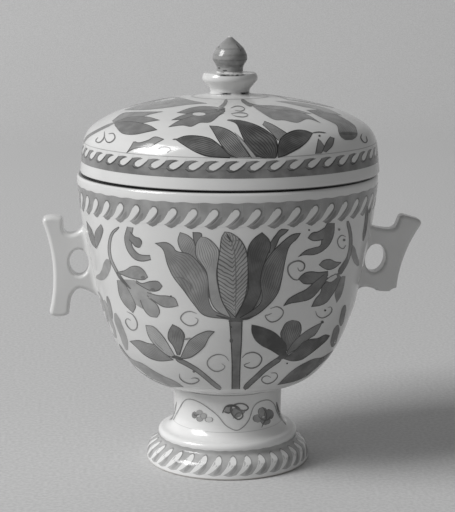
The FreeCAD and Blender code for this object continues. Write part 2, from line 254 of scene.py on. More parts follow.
def glazed(outline, softness=0.3 * MM):
    """Outline with its corners rounded as glaze rounds them.

    It is resampled evenly, smoothed with a bell of that width, and then thinned so
    that the points stand close where it bends and apart where it is straight.
    """
    step = 0.1 * MM
    gaps = np.r_[0, np.cumsum(np.linalg.norm(np.diff(outline, axis=0), axis=1))]
    even = np.linspace(0, gaps[-1], int(gaps[-1] / step))
    line = np.stack([np.interp(even, gaps, outline[:, k]) for k in (0, 1)], 1)
    reach = int(3 * softness / step)
    bell = np.exp(-0.5 * (np.arange(-reach, reach + 1) * step / softness) ** 2)
    bell /= bell.sum()
    # Odd reflection at both ends keeps the first and last point where they are.
    head = 2 * line[0] - line[reach:0:-1]
    tail = 2 * line[-1] - line[-2:-reach - 2:-1]
    padded = np.concatenate([head, line, tail])
    line = np.stack([np.convolve(padded[:, k], bell, "valid") for k in (0, 1)], 1)
    tangent = np.unwrap(np.arctan2(*np.gradient(line, axis=0).T[::-1]))
    effort = np.cumsum(np.abs(np.gradient(tangent)) / 0.11 + step / (3.0 * MM))
    effort -= effort[0]
    wanted = np.linspace(0, effort[-1], int(effort[-1]) + 2)
    return np.stack([np.interp(wanted, effort, line[:, k]) for k in (0, 1)], 1)


def bowl_side(s):
    """Outside of the bowl, from its widest circle down to the stem."""
    stations_above = ((0.9738, 0.8309), (0.9625, 0.7785))
    stations_below = (
        (0.8673, 0.4246), (0.8475, 0.3722), (0.7867, 0.2543),
        (0.7442, 0.1890), (0.6237, 0.0710), (0.5098, 0.0180),
    )
    side = Outline((s.rim_radius, s.bowl_base + s.bowl_depth)).turn(-0.108, -1)
    for out, up in stations_above:
        side.arc(out * s.rim_radius, s.bowl_base + up * s.bowl_depth)
    out, up = stations_below[0]
    side.line(out * s.rim_radius, s.bowl_base + up * s.bowl_depth)
    for out, up in stations_below[1:]:
        side.arc(out * s.rim_radius, s.bowl_base + up * s.bowl_depth)
    return side.arc(s.stem_radius + STEM_ROUND, s.bowl_base)


def foot_side(s):
    """Outside of the foot, from the table up to the bowl's base."""
    foot = Outline((0, 0)).line(s.foot_radius - FOOT_CHAMFER, 0)
    foot.line(s.foot_radius, FOOT_CHAMFER).turn(0, 1)
    for inward, height in (BAND_MIDDLE, BAND_TOP):
        foot.arc(s.foot_radius - inward, height)
    foot.line(s.groove_radius, s.groove_height)
    stem = Outline((s.stem_radius + STEM_ROUND, s.bowl_base))
    stem.line(s.stem_radius, STEM_STRAIGHT_FROM).turn(0, -1)
    stem.arc(s.stem_radius + STEM_SPREAD[0], STEM_SPREAD[1])
    stem.arc(s.swell_radius - SWELL_SHOULDER[0], s.swell_height + SWELL_SHOULDER[1])
    stem.arc(s.swell_radius, s.swell_height).arc(s.groove_radius, s.groove_height)
    return foot.array(), stem.array()[::-1]


def cup_outline(s):
    """Closed half section of the cup: hollow, foot, bowl, lip and inside."""
    inner = s.stem_radius - STEM_WALL
    ring = s.foot_radius - s.foot_ring
    hollow = Outline((0, s.bowl_base)).line(inner - HOLLOW_ROUND, s.bowl_base)
    hollow.arc(inner, s.bowl_base - HOLLOW_ROUND).line(inner, HOLLOW_STRAIGHT_FROM)
    hollow.turn(0, -1).arc(inner + HOLLOW_FLARE, HOLLOW_FLARE_HEIGHT)
    hollow.line(ring - FOOT_CHAMFER, FOOT_CHAMFER).line(ring, 0)
    foot, stem = foot_side(s)
    side = bowl_side(s)
    lip = Outline((s.rim_radius, s.bowl_base + s.bowl_depth))
    lip.line(s.rim_radius, SEAT_HEIGHT - LIP_ROUND)
    lip.arc(s.rim_radius - LIP_ROUND, SEAT_HEIGHT)
    lip.line(s.rim_radius - LIP_FLAT_FROM, SEAT_HEIGHT)
    wall = side.inside(s.rim_wall, s.floor_wall)
    floor = Outline(wall.joints[-1][0]).line(0, wall.joints[-1][0][1])
    stretches = (
        hollow.array(), foot[foot[:, 0] > ring], stem, side.array()[::-1],
        lip.array(), wall.array(), floor.array(),
    )
    return np.concatenate(stretches)


def collar_root(s):
    """Height where the knob's collar stands on the dome."""
    return SEAT_HEIGHT + s.wall_rise + s.dome_rise + COLLAR_STANDS


def flange_radius(cup):
    """Outside of the cover's flange, which goes into the cup's mouth with a gap."""
    return cup.rim_radius - cup.rim_wall - FLANGE_GAP


def dome_side(s):
    """Outside of the dome, from the knob's collar out to the shoulder."""
    shoulder = SEAT_HEIGHT + s.wall_rise
    top = shoulder + s.dome_rise

    def height(out):
        return top - DOME_SPHERE + math.sqrt(DOME_SPHERE**2 - out**2)

    root = (COLLAR_ROOT, collar_root(s))
    near = DOME_FROM
    fall = (height(near) - root[1]) / (near - root[0])
    slope = -near / math.sqrt(DOME_SPHERE**2 - near**2)
    dome = Outline(root).turn(1, 2 * fall - slope).arc(near, height(near)).turn(1, slope)
    dome.arc(DOME_TO, height(DOME_TO))
    dome.arc(s.shoulder_radius - DOME_HAUNCH[0], shoulder + DOME_HAUNCH[1])
    return dome.arc(s.shoulder_radius, shoulder)


def knob_side(s):
    """Outside of the knob, from the bud's tip down to the collar's root."""
    root = collar_root(s)
    top = root + COLLAR_HEIGHT
    widest = top + BUD_WIDEST
    tip = top + BUD_TIP
    knob = Outline((0, tip)).line(0.9 * MM, tip - 0.9 * MM).turn(1, -0.8)
    knob.arc(s.bud_radius - 2.1 * MM, widest + 3.8 * MM).arc(s.bud_radius, widest)
    knob.arc(s.bud_radius - 0.8 * MM, widest - 2.6 * MM)
    knob.arc(BUD_NECK, top + 1.5 * MM).line(BUD_NECK, top)
    lip = s.collar_radius - COLLAR_LIP
    knob.line(lip, top).turn(0.7, -1).arc(s.collar_radius, top - 1.7 * MM)
    knob.arc(lip, top - 3.4 * MM).line(7.7 * MM, root + 2.1 * MM)
    return knob.arc(COLLAR_ROOT, root + 0.9 * MM).line(COLLAR_ROOT, root)


def cover_outline(s, ring_out):
    """Closed half section of the cover: knob, dome, wall, flange and underside."""
    dome = dome_side(s)
    under = dome.inside(s.wall, s.wall)
    ring_in = ring_out - FLANGE_WALL
    end = COVER_BOX[0][2]
    bevel = COVER_CHAMFER
    edge = Outline(dome.joints[-1][0]).line(s.edge_radius, SEAT_HEIGHT + bevel)
    edge.line(s.edge_radius - bevel, SEAT_HEIGHT).line(ring_out, SEAT_HEIGHT)
    edge.line(ring_out, end + bevel).line(ring_out - bevel, end)
    edge.line(ring_in + bevel, end).line(ring_in, end + bevel)
    edge.line(ring_in, SEAT_HEIGHT).line(*under.joints[-1][0])
    crown = under.array()[0]
    centre = np.linspace(crown, (0, crown[1]), 12)[1:]
    return np.concatenate(
        [knob_side(s).array(), dome.array(), edge.array(), under.array()[::-1], centre]
    )


def link_piece(mesh, name, node):
    """Object at the origin that stands for a node."""
    mesh.polygons.foreach_set("use_smooth", np.ones(len(mesh.polygons), bool))
    mesh.update()
    piece = bpy.data.objects.new(name, mesh)
    bpy.context.scene.collection.objects.link(piece)
    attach(piece, "root")
    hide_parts(node)
    return piece


def new_piece(name, verts, faces, node):
    mesh = bpy.data.meshes.new(name)
    mesh.from_pydata(verts, [], faces)
    mesh.validate()
    return link_piece(mesh, name, node)


def revolved(name, outline, axis, columns, node):
    """Outline carried round the vertical line at x = axis.

    P(a, k) = (axis + r_k cos a, r_k sin a, z_k), with one point at each pole.
    """
    angle = np.linspace(0, 2 * math.pi, columns, endpoint=False)
    r, z = outline[1:-1, 0], outline[1:-1, 1]
    grid = np.stack(np.broadcast_arrays(
        axis + r[:, None] * np.cos(angle), r[:, None] * np.sin(angle), z[:, None]
    ), -1).reshape(-1, 3)
    poles = np.array([[axis, 0, outline[0, 1]], [axis, 0, outline[-1, 1]]])
    verts = np.concatenate([grid, poles])
    rows = len(r)
    here = np.arange(columns)
    after = (here + 1) % columns
    k = np.arange(rows - 1)[:, None] * columns
    quads = np.stack([k + here, k + columns + here, k + columns + after, k + after], -1)
    first, last = rows * columns, rows * columns + 1
    start_fan = np.stack([np.full(columns, first), here, after], -1)
    base = (rows - 1) * columns
    end_fan = np.stack([np.full(columns, last), base + after, base + here], -1)
    faces = quads.reshape(-1, 4).tolist() + start_fan.tolist() + end_fan.tolist()
    piece = new_piece(name, verts.tolist(), faces, node)
    solid = bmesh.new()
    solid.from_mesh(piece.data)
    bmesh.ops.recalc_face_normals(solid, faces=solid.faces)
    solid.to_mesh(piece.data)
    solid.free()
    return piece


def picture_axes():
    """Unit vectors of the camera: forward, right and up."""
    forward = (TARGET - CAMERA_AT).normalized()
    right = forward.cross(Vector((0, 0, 1))).normalized()
    return forward, right, right.cross(forward)


def smooth(points, count):
    """Catmull-Rom curve through the points, at evenly spaced lengths along it."""
    p = np.array(points, float)
    p = np.concatenate([[2 * p[0] - p[1]], p, [2 * p[-1] - p[-2]]])
    t = np.linspace(0, 1, 9)[:-1, None]
    curve = [
        b + t * (c - a) / 2 + t**2 * (a - 2.5 * b + 2 * c - d / 2)
        + t**3 * (1.5 * (b - c) + (d - a) / 2)
        for a, b, c, d in zip(p, p[1:], p[2:], p[3:])
    ]
    curve = np.concatenate([*curve, p[-2:-1]])
    gaps = np.r_[0, np.cumsum(np.linalg.norm(np.diff(curve, axis=0), axis=1))]
    at = np.linspace(0, gaps[-1], count)
    return np.stack([np.interp(at, gaps, curve[:, k]) for k in (0, 1)], 1)


def size_of(points):
    return np.linalg.norm(np.diff(np.array(points, float), axis=0), axis=1).sum()


class Stroke:
    """Field of ink: a grid in a flat place and how the ink lies on it.

    ink is how dark it is, lines how strong the fine brush lines in it are, edge how
    dark its outline is. With vee the lines run to both sides of a midrib.
    """

    def __init__(self, grid, ink, lines=0.0, edge=0.0, vee=0.0, layer=1):
        self.grid = grid
        self.look = (ink, lines, edge, vee)
        self.layer = layer


def petal(first, second, ink, grain=2.4, **look):
    """Field between two edges that run the same way."""
    rows = max(4, int(max(size_of(first), size_of(second)) / grain) + 2)
    a, b = smooth(first, rows), smooth(second, rows)
    columns = max(5, int(np.linalg.norm(b - a, axis=1).max() / grain / 1.6) + 2)
    share = np.linspace(0, 1, columns)[:, None]
    return Stroke(a[:, None] + share * (b - a)[:, None], ink, **look)


def line(points, width, ink, grain=1.6, start=0.25, stop=0.25, **look):
    """Brush line that swells from both ends over those shares of its length."""
    rows = max(4, int(size_of(points) / grain) + 2)
    spine = smooth(points, rows)
    along = np.gradient(spine, axis=0)
    along /= np.linalg.norm(along, axis=1)[:, None]
    side = np.stack([-along[:, 1], along[:, 0]], 1)
    s = np.linspace(0, 1, rows)
    swell = np.minimum(1, np.minimum((s + 0.03) / start, (1.03 - s) / stop)) ** 0.6
    half = (width / 2 * swell)[:, None]
    edges = spine - half * side, spine + half * side
    share = np.linspace(0, 1, 3)[:, None]
    grid = edges[0][:, None] + share * (edges[1] - edges[0])[:, None]
    return Stroke(grid, ink, **{"layer": 3, **look})


def dot(x, y, radius, ink, tall=None, **look):
    """Round or oval spot."""
    t = np.linspace(-1, 1, 9)[:, None]
    across = np.linspace(-1, 1, 5)
    grid = np.stack(np.broadcast_arrays(
        x + radius * np.sqrt(1 - t**2) * across, y + (tall or radius) * t
    ), -1)
    return Stroke(grid, ink, **{"layer": 4, **look})


def patch(x, z, ink, wave=0.0, scallop=0.0, grain=0.8, **look):
    """One repeat of a band, x[0] to x[1] wide and z[0] to z[1] high.

    wave lifts and lowers its upper edge, and scallop makes its lower edge hang.
    """
    along = np.linspace(*x, 13)
    turn = 2 * math.pi * (along - x[0]) / (x[1] - x[0])
    top = z[1] + wave * np.sin(turn)
    foot = z[0] + scallop * np.cos(turn)
    share = np.linspace(0, 1, int((z[1] - z[0]) / grain) + 3)[:, None]
    grid = np.stack(np.broadcast_arrays(along, foot + share * (top - foot)), -1)
    return Stroke(grid, ink, **{"layer": 0, **look})


class Skin:
    """Outside of a turned form, for placing paint on it.

    Seen from a point on the axis at the height `middle`, the outline is
    reach(angle), with angle = atan2(z - middle, r). A ray from the camera meets the
    form where hypot(r, z - middle) falls to reach(angle): found in even steps, then
    by halving.
    """

    STEPS = 140
    LIFT = 0.04 * MM
    LAYER = 0.012 * MM

    def __init__(self, outline, axis, middle):
        angle = np.arctan2(outline[:, 1] - middle, outline[:, 0])
        order = np.argsort(angle)
        self.axis, self.middle = axis, middle
        self.angle = angle[order]
        self.out, self.up = outline[order].T
        self.reach = np.hypot(self.out, self.up - middle)
        along = np.gradient(outline[order], axis=0)
        self.tilt = np.arctan2(-along[:, 0], along[:, 1])

    def lifted(self, x, y, z, tilt, layer):
        """Points moved out along the normal, whose slope above the level is tilt."""
        lift = self.LIFT + layer * self.LAYER
        out = np.hypot(x, y)
        grow = 1 + lift * np.cos(tilt) / out
        return np.stack([self.axis + x * grow, y * grow, z + lift * np.sin(tilt)], -1)

    def land(self, grid, layer):
        """Picture points sent onto the form, and which of them meet it."""
        forward, right, up = (np.array(v) for v in picture_axes())
        flat = grid.reshape(-1, 2)
        ray = FOCAL_PIXELS * forward + (flat[:, :1] - PICTURE_WIDTH / 2) * right
        ray = ray + (PICTURE_HEIGHT / 2 - flat[:, 1:]) * up
        ray /= np.linalg.norm(ray, axis=1)[:, None]
        start = np.array(CAMERA_AT) - (self.axis, 0, self.middle)

        def beyond(t):
            p = start + t[..., None] * ray
            out = np.hypot(p[..., 0], p[..., 1])
            angle = np.arctan2(p[..., 2], out)
            return np.hypot(out, p[..., 2]) - np.interp(angle, self.angle, self.reach)

        centre = np.linalg.norm(start)
        steps = np.linspace(centre - self.reach.max(), centre + 10 * MM, self.STEPS)
        inside = beyond(np.repeat(steps[:, None], len(ray), 1)) < 0
        first = inside.argmax(0)
        near = steps[np.maximum(first - 1, 0)]
        far = steps[first]
        for _ in range(20):
            half = (near + far) / 2
            out = beyond(half) > 0
            near, far = np.where(out, half, near), np.where(out, far, half)
        p = start + far[:, None] * ray
        angle = np.arctan2(p[:, 2], np.hypot(p[:, 0], p[:, 1]))
        met = inside.any(0) & (angle > self.angle[0]) & (angle < self.angle[-1])
        tilt = np.interp(angle, self.angle, self.tilt)
        place = self.lifted(p[:, 0], p[:, 1], p[:, 2] + self.middle, tilt, layer)
        return place.reshape(*grid.shape[:2], 3), met.reshape(grid.shape[:2])

    def wrap(self, grid, layer, radius):
        """Millimetre points (along the circle of that radius, height) on the form."""
        azimuth = grid[..., 0] * MM / radius - math.pi / 2
        z = grid[..., 1] * MM
        out = np.interp(z, self.up, self.out)
        tilt = np.interp(z, self.up, self.tilt)
        place = self.lifted(out * np.cos(azimuth), out * np.sin(azimuth), z, tilt, layer)
        return place, np.ones(grid.shape[:2], bool)


class Painting:
    """Collects strokes on one form into one mesh.

    Its UV map "stroke" holds (share of the way across, millimetres along), and the
    first value of its UV map "rim" is millimetres in from the stroke's nearer edge.
    """

    def __init__(self, skin):
        self.skin = skin
        self.verts, self.faces, self.flat, self.rims, self.looks = [], [], [], [], []
        self.count = 0

    def keep(self, place, met, stroke, load=1.0):
        """Adds a placed grid; load is how much ink the brush held."""
        rows, columns = met.shape
        k = np.arange(rows * columns).reshape(rows, columns)
        quads = np.stack([k[:-1, :-1], k[1:, :-1], k[1:, 1:], k[:-1, 1:]], -1).reshape(-1, 4)
        quads = quads[met.reshape(-1)[quads].all(1)]
        a, b, c, d = (place.reshape(-1, 3)[quads[:, j]] for j in range(4))
        normal = np.cross(c - a, d - b).sum(0)
        outward = place.reshape(-1, 3).mean(0) - (self.skin.axis, 0, self.skin.middle)
        if normal @ outward < 0:
            quads = quads[:, ::-1]
        middle = place[:, columns // 2]
        along = np.r_[0, np.cumsum(np.linalg.norm(np.diff(middle, axis=0), axis=1))] / MM
        across = np.linspace(0, 1, columns)
        width = np.linalg.norm(place[:, -1] - place[:, 0], axis=1)[:, None] / MM
        inward = np.minimum(across, 1 - across) * width
        self.rims.append(np.stack([inward, np.zeros_like(inward)], -1).reshape(-1, 2))
        self.verts.append(place.reshape(-1, 3))
        self.faces.append(quads + self.count)
        flat = np.stack(np.broadcast_arrays(across, along[:, None]), -1)
        self.flat.append(flat.reshape(-1, 2))
        look = np.array(stroke.look) * (load, 1, 1, 1)
        self.looks.append(np.tile(look, (rows * columns, 1)))
        self.count += rows * columns

    def from_picture(self, strokes, load=1.0):
        """Places strokes as the camera sees them, and again on the far side."""
        for stroke in strokes.values():
            place, met = self.skin.land(stroke.grid, stroke.layer)
            self.keep(place, met, stroke, load)
            far = place.copy()
            far[..., 0] = 2 * self.skin.axis - place[..., 0]
            far[..., 1] = -place[..., 1]
            self.keep(far, met, stroke, load)

    def round_about(self, strokes, count, radius, phase=0.0):
        """Repeats a group of strokes round the form."""
        pitch = 2 * math.pi * radius / MM / count
        for turn in range(count):
            for stroke in strokes.values():
                grid = stroke.grid + ((turn + phase) * pitch, 0)
                self.keep(*self.skin.wrap(grid, stroke.layer, radius), stroke)

    def piece(self, name, node, slot):
        used, faces = np.unique(np.concatenate(self.faces), return_inverse=True)
        faces = faces.reshape(-1, 4)
        mesh = bpy.data.meshes.new(name)
        mesh.from_pydata(np.concatenate(self.verts)[used].tolist(), [], faces.tolist())
        mesh.polygons.foreach_set("use_smooth", np.ones(len(mesh.polygons), bool))
        for layer, values in (("stroke", self.flat), ("rim", self.rims)):
            flat = np.concatenate(values)[used][faces.reshape(-1)]
            mesh.uv_layers.new(name=layer).data.foreach_set("uv", flat.reshape(-1))
        look = mesh.attributes.new("look", "FLOAT_COLOR", "POINT")
        look.data.foreach_set("color", np.concatenate(self.looks)[used].reshape(-1))
        return link_piece(mesh, name, node)


# Painting on the front, in picture coordinates that were read off. Petals and leaves run
# from their tip to their base, first one edge, then the other.
TULIP = {
    "back petal, left": petal(
        [(180, 232), (177.5, 240), (180, 249), (187, 258), (196, 266)],
        [(180, 232), (188, 235), (195, 242), (198, 254), (203, 266)],
        0.34, lines=0.5, edge=0.5, layer=0),
    "curled tip": petal(
        [(192.5, 232), (193, 238), (195, 246)], [(192.5, 232), (202, 233.5), (199, 244)],
        0.56, edge=0.5, layer=1),
    "shade between the petals": petal(
        [(197, 258), (207, 276), (209, 298), (228, 317.5)],
        [(272, 252), (263, 276), (261, 300), (244, 317.5)],
        0.62, layer=0),
    "back petal, right": petal(
        [(289, 229.5), (281, 229), (276, 234), (270, 243), (269, 253)],
        [(289, 229.5), (286, 233), (280, 238), (277, 245), (273, 252)],
        0.66, lines=0.3, edge=0.6, layer=1),
    "dark petal": petal(
        [(262, 232), (254, 238), (248.5, 246), (247, 256), (248, 286), (244, 300), (235, 318)],
        [(262, 232), (269, 239), (271, 247), (266, 260), (261, 280), (261, 294), (252, 311),
         (240, 318.5)],
        0.84, lines=0.3, edge=0.5, layer=2),
    "outer petal, right": petal(
        [(301, 233), (293, 234), (284, 240), (271, 253), (263, 266), (260, 282), (262, 297),
         (256, 307), (238, 318.5)],
        [(301, 233), (297, 239), (290, 246), (286, 258), (281, 284), (277, 295), (268, 306),
         (255, 316), (240, 319.5)],
        0.62, lines=0.45, edge=0.75, layer=3),
    "outer petal, left": petal(
        [(154.6, 243), (163, 250), (167, 264), (173, 277), (183, 290), (194, 305), (205, 316),
         (229, 319.5)],
        [(154.6, 243), (166, 242), (173, 246), (177, 251), (190, 254), (202, 266), (208, 278),
         (208.5, 297), (214, 310), (231, 317)],
        0.44, lines=0.3, edge=0.45, layer=1),
    "fold": line([(174, 277), (181, 277.5), (187, 281), (191, 286), (190, 292)], 1.1, 0.62),
    "inner petal": petal(
        [(200.5, 236.5), (196, 243), (195, 251), (197, 259), (206, 272), (208.5, 290),
         (211, 303), (218, 312), (229, 317.5)],
        [(200.5, 236.5), (208, 238), (216, 245), (219.5, 253), (216.8, 272), (218.5, 287),
         (223, 302), (231, 317)],
        0.25, lines=0.42, edge=0.6, layer=2),
    "centre petal": petal(
        [(224.6, 231.5), (221, 238), (219.5, 250), (216.8, 270), (218.5, 288), (223, 304),
         (235, 317.5)],
        [(224.6, 231.5), (232, 233), (241, 240), (247, 252), (248.5, 272), (247, 290),
         (243, 303), (235, 317.5)],
        0.3, lines=0.75, edge=0.8, vee=1.0, layer=4),
    "midrib": line([(230, 239), (234.5, 252), (236, 280), (235.3, 316)], 1.0, 0.62, layer=5),
    "mark at the tip": line([(226.5, 233), (229, 238), (232, 242)], 1.9, 0.97, layer=5),
    "loop at the tip": line([(231, 235), (237, 236.5), (238.5, 240), (233, 241)], 0.9, 0.6, layer=5),
    "calyx": line([(216, 315), (226, 318), (236, 319), (247, 318.5), (256, 315)], 2.4, 0.93, layer=5),
    "stem": petal(
        [(229, 320), (230.5, 340), (231.5, 362), (231.5, 389)],
        [(242.5, 320), (242, 340), (240.7, 362), (240, 389)],
        0.62, edge=0.85, layer=3),
    "stem, dark top": line([(228.5, 321), (235, 320), (243, 321)], 3.0, 0.98, layer=5),
    "drop on the stem": dot(231, 327, 1.1, 0.97),
    "large drop on the stem": dot(231.3, 340.5, 1.7, 0.97, tall=2.5),
}
LEFT_SPROUT = {
    "stem": line(
        [(176, 358.5), (187, 364), (197, 370), (207, 378), (214, 384), (221, 389)],
        4.8, 0.52, start=0.1, stop=0.1, edge=0.65, layer=1),
    "far leaf": petal(
        [(129.5, 341), (139, 340), (148, 343), (155, 344.5), (163, 351.5), (174, 360)],
        [(129.5, 341), (137, 348), (143, 354), (151, 359), (161, 361.3), (174, 360)],
        0.5, lines=0.4, edge=0.6, layer=1),
    "light petal": petal(
        [(145.5, 325), (153, 326), (158, 330), (164, 337), (169, 345), (176, 357)],
        [(145.5, 325), (147.5, 334), (152, 342), (159, 349), (168, 356), (176, 358)],
        0.2, lines=0.6, edge=0.65, layer=2),
    "fold": line([(153, 339), (158, 345), (164, 351)], 1.0, 0.5),
    "leaf": petal(
        [(215, 331.5), (208, 330.5), (200, 333), (193, 337), (187, 343), (180, 358)],
        [(215, 331.5), (209, 338), (205, 346), (198, 353), (190, 358), (180, 359)],
        0.42, lines=0.45, edge=0.6, layer=2),
    "twig": line([(184, 339.5), (191, 338)], 1.6, 0.5),
    "bud": petal(
        [(172.5, 324), (168.5, 331), (168, 339), (173, 346), (177, 355)],
        [(172.5, 324), (180, 328), (184.5, 334), (184, 341), (180, 355)],
        0.6, lines=0.5, edge=0.65, layer=3),
    "node": line([(171.5, 357), (176, 357), (182, 359.5)], 3.2, 0.95, layer=5),
    "knot": dot(194, 371.2, 1.4, 0.8),
    "ground leaf": petal(
        [(126, 354), (133, 359.5), (142, 363), (153, 370), (164, 376), (175, 381), (184, 387)],
        [(126, 354), (130, 361), (137, 369), (146, 376), (157, 382), (170, 386.5), (184, 387)],
        0.46, edge=0.35, layer=1),
    "ground line": line([(119, 344), (124, 352), (130, 359)], 1.6, 0.66),
    "side leaf, low": line([(115, 313), (119, 325), (124, 338), (127, 350)], 6.0, 0.36, layer=1),
    "side leaf, high": line([(104, 300), (108, 314), (112, 327), (116, 338)], 4.6, 0.34, layer=1),
    "side stalk": line([(107, 296), (110, 308), (112, 319)], 3.2, 0.44, layer=2),
    "tendril under the flower": line(
        [(197, 313.5), (190, 311.3), (184, 313), (180.5, 318), (184, 323), (190, 325.7),
         (196, 324), (198, 319.7), (195, 317.5)],
        1.1, 0.56),
    "tendril, left": line(
        [(127, 311.5), (133, 315), (137, 322), (136.5, 328.5), (132, 330), (127.5, 326),
         (125.5, 321), (127.5, 318.5), (131, 320.5)],
        1.1, 0.6),
    "tendril by the stem": line(
        [(229, 361), (225, 356), (218, 354.4), (211.5, 356.5), (207.5, 361), (208, 366),
         (213, 370.5), (218.5, 371.3), (223.5, 369), (224.8, 366), (221.5, 363.5)],
        1.1, 0.56),
    "tendril under the stalk": line(
        [(179.5, 373.5), (180, 378), (185, 382.3), (192, 383.8), (198, 381.7), (199, 379.4),
         (195, 377.8), (191, 378.5)],
        1.2, 0.6),
}
RIGHT_SPROUT = {
    "stem": line(
        [(281, 358), (272, 364), (264, 370), (256, 377.5), (250, 383), (244, 389)],
        5.4, 0.64, start=0.1, stop=0.1, edge=0.75, layer=1),
    "dark leaf": petal(
        [(251.5, 324.5), (259, 326), (268, 329), (275, 332.5), (281, 338), (287, 346), (284, 359)],
        [(251.5, 324.5), (251.5, 332), (255, 340), (262, 346), (271, 350.5), (284, 359)],
        0.97, layer=3),
    "upright petal": petal(
        [(292, 320), (286, 322.5), (282, 329), (280.5, 336), (287, 352)],
        [(292, 320), (299, 321.5), (301.5, 327), (300, 335), (289, 352)],
        0.56, lines=0.6, edge=0.75, layer=1),
    "thin petal": petal(
        [(322.5, 322), (316, 325), (309, 329), (303, 333), (293, 342), (284, 356)],
        [(322.5, 322), (319, 329), (315, 335), (309, 339), (300, 347), (284, 357)],
        0.5, lines=0.6, edge=0.55, layer=2),
    "low leaf": petal(
        [(330, 335.5), (325, 334.5), (318, 338), (310, 339), (303, 342), (294, 351), (284, 358)],
        [(330, 335.5), (326, 341), (318, 348), (309, 355), (301, 360), (292, 361.2), (284, 359)],
        0.76, lines=0.35, edge=0.5, layer=3),
    "node": line([(277, 358.5), (283, 356.5), (288, 355)], 4.2, 0.99, layer=5),
    "dot at a tip": dot(322.2, 322, 1.5, 0.92),
    "ground leaf": petal(
        [(333, 350.5), (322, 357), (314, 358.5), (306, 362), (297, 367), (288, 374), (277, 385)],
        [(333, 350.5), (328, 358), (322, 363), (314, 370), (305, 377), (293, 382), (277, 385)],
        0.68, edge=0.35, layer=1),
    "side leaf, high": line([(345, 305), (342.5, 315), (340.5, 326)], 4.8, 0.56, layer=1),
    "side leaf, low": line([(338, 325), (335, 335), (332, 347)], 6.2, 0.56, layer=1),
    "tendril under the flower": line(
        [(270, 308.7), (277, 306.7), (282.7, 310), (282.6, 315), (278, 320), (272, 322),
         (267.5, 320), (265, 315.5), (268, 315), (272, 313)],
        1.1, 0.66),
    "tendril, right": line(
        [(315.5, 311), (317, 315.5), (322, 318), (328, 315.5), (331.7, 311), (331, 307),
         (327.5, 307.5)],
        1.0, 0.62),
    "tendril dot": dot(325, 310.3, 1.1, 0.85),
    "tendril by the stem": line(
        [(242, 358), (246, 354), (253, 352.3), (259, 354.5), (261.8, 359), (259, 365),
         (253, 368), (247, 367.3), (244, 365), (250, 362.3)],
        1.3, 0.7),
    "tendril under the stalk": line(
        [(271, 373), (276, 373), (277.3, 377), (273, 381.7), (267, 383.7), (262, 381),
         (262.5, 377.5), (267, 375.7), (271, 377.5)],
        1.1, 0.66),
}
LEFT_SPRAY = {
    "stem": line(
        [(119, 227), (112, 234), (109.3, 246), (110.5, 258), (115, 268), (121, 278), (131, 289)],
        3.0, 0.5, start=0.1, edge=0.5, layer=1),
    "thick of the stem": line([(116, 272), (122, 280), (131, 289)], 2.4, 0.93, layer=4),
    "small leaf": petal(
        [(127, 226.5), (124.3, 238), (127, 250), (134, 259), (142, 261.5), (151, 260)],
        [(133.5, 227.5), (132, 236), (132.5, 246), (138, 253), (143.5, 254.8), (150, 255)],
        0.56, lines=0.25, edge=0.45, layer=1),
    "small leaf, lobe": petal(
        [(130, 231), (135, 236.5), (139, 237.5), (142.3, 242), (140, 247.5)],
        [(129, 240), (132, 243), (135, 246.5), (138, 247.7), (140, 247.5)],
        0.74, edge=0.5, layer=2),
    "far leaf": petal(
        [(86.5, 221), (88, 232), (91.5, 243), (96.5, 249)],
        [(86.5, 221), (92, 230), (95, 240), (96.5, 249)],
        0.7, edge=0.5, layer=1),
    "near leaf": petal(
        [(101, 224), (95.5, 231), (94.5, 240), (97, 248)],
        [(101, 224), (103.4, 230), (101, 239), (97, 248)],
        0.6, lines=0.35, edge=0.4, layer=2),
    "bell": line([(107.5, 259), (106.5, 268), (102.5, 276), (96, 277)], 8.0, 0.45, layer=1),
    "cluster, body": petal(
        [(120, 279), (125, 292), (134, 303), (143, 309)],
        [(134, 280), (146, 287), (153, 296), (151, 305)],
        0.42, layer=1),
    "cluster, top leaf": petal(
        [(148, 277), (144, 270), (138, 266), (131, 266.3), (125, 270), (117, 272)],
        [(148, 277), (144, 280), (136, 279.5), (128, 277.5), (122, 275), (117, 273)],
        0.48, lines=0.25, edge=0.4, layer=2),
    "cluster, dark tip": dot(143, 277.3, 2.2, 0.86, tall=1.7),
    "cluster, right leaf": petal(
        [(162.5, 286), (158, 281), (150, 281), (142, 283), (136, 280)],
        [(162.5, 286), (159, 290.5), (152, 291.5), (144, 288), (136, 283)],
        0.54, lines=0.25, edge=0.45, layer=2),
    "cluster, dark spot": dot(152.5, 289.8, 2.6, 0.82, tall=1.8),
    "cluster, far leaf": petal(
        [(178.5, 306), (175, 298), (167, 295.5), (158, 295), (147, 292)],
        [(178.5, 306), (171, 307.5), (163, 307), (155, 302), (147, 296)],
        0.48, lines=0.25, edge=0.4, layer=1),
    "cluster, low lobe": petal(
        [(157, 317.5), (150, 316.3), (144, 310), (140, 300)],
        [(157, 317.5), (160, 312), (157, 304), (149, 298)],
        0.46, edge=0.5, layer=2),
    "cluster, left lobe": petal(
        [(133, 313), (124, 304), (119, 294), (117, 280)],
        [(133, 313), (136, 306), (132, 296), (123, 280)],
        0.45, lines=0.25, edge=0.4, layer=2),
    "side blade": line([(96.5, 289), (101, 299), (105, 312), (108, 325)], 3.0, 0.44, layer=1),
}
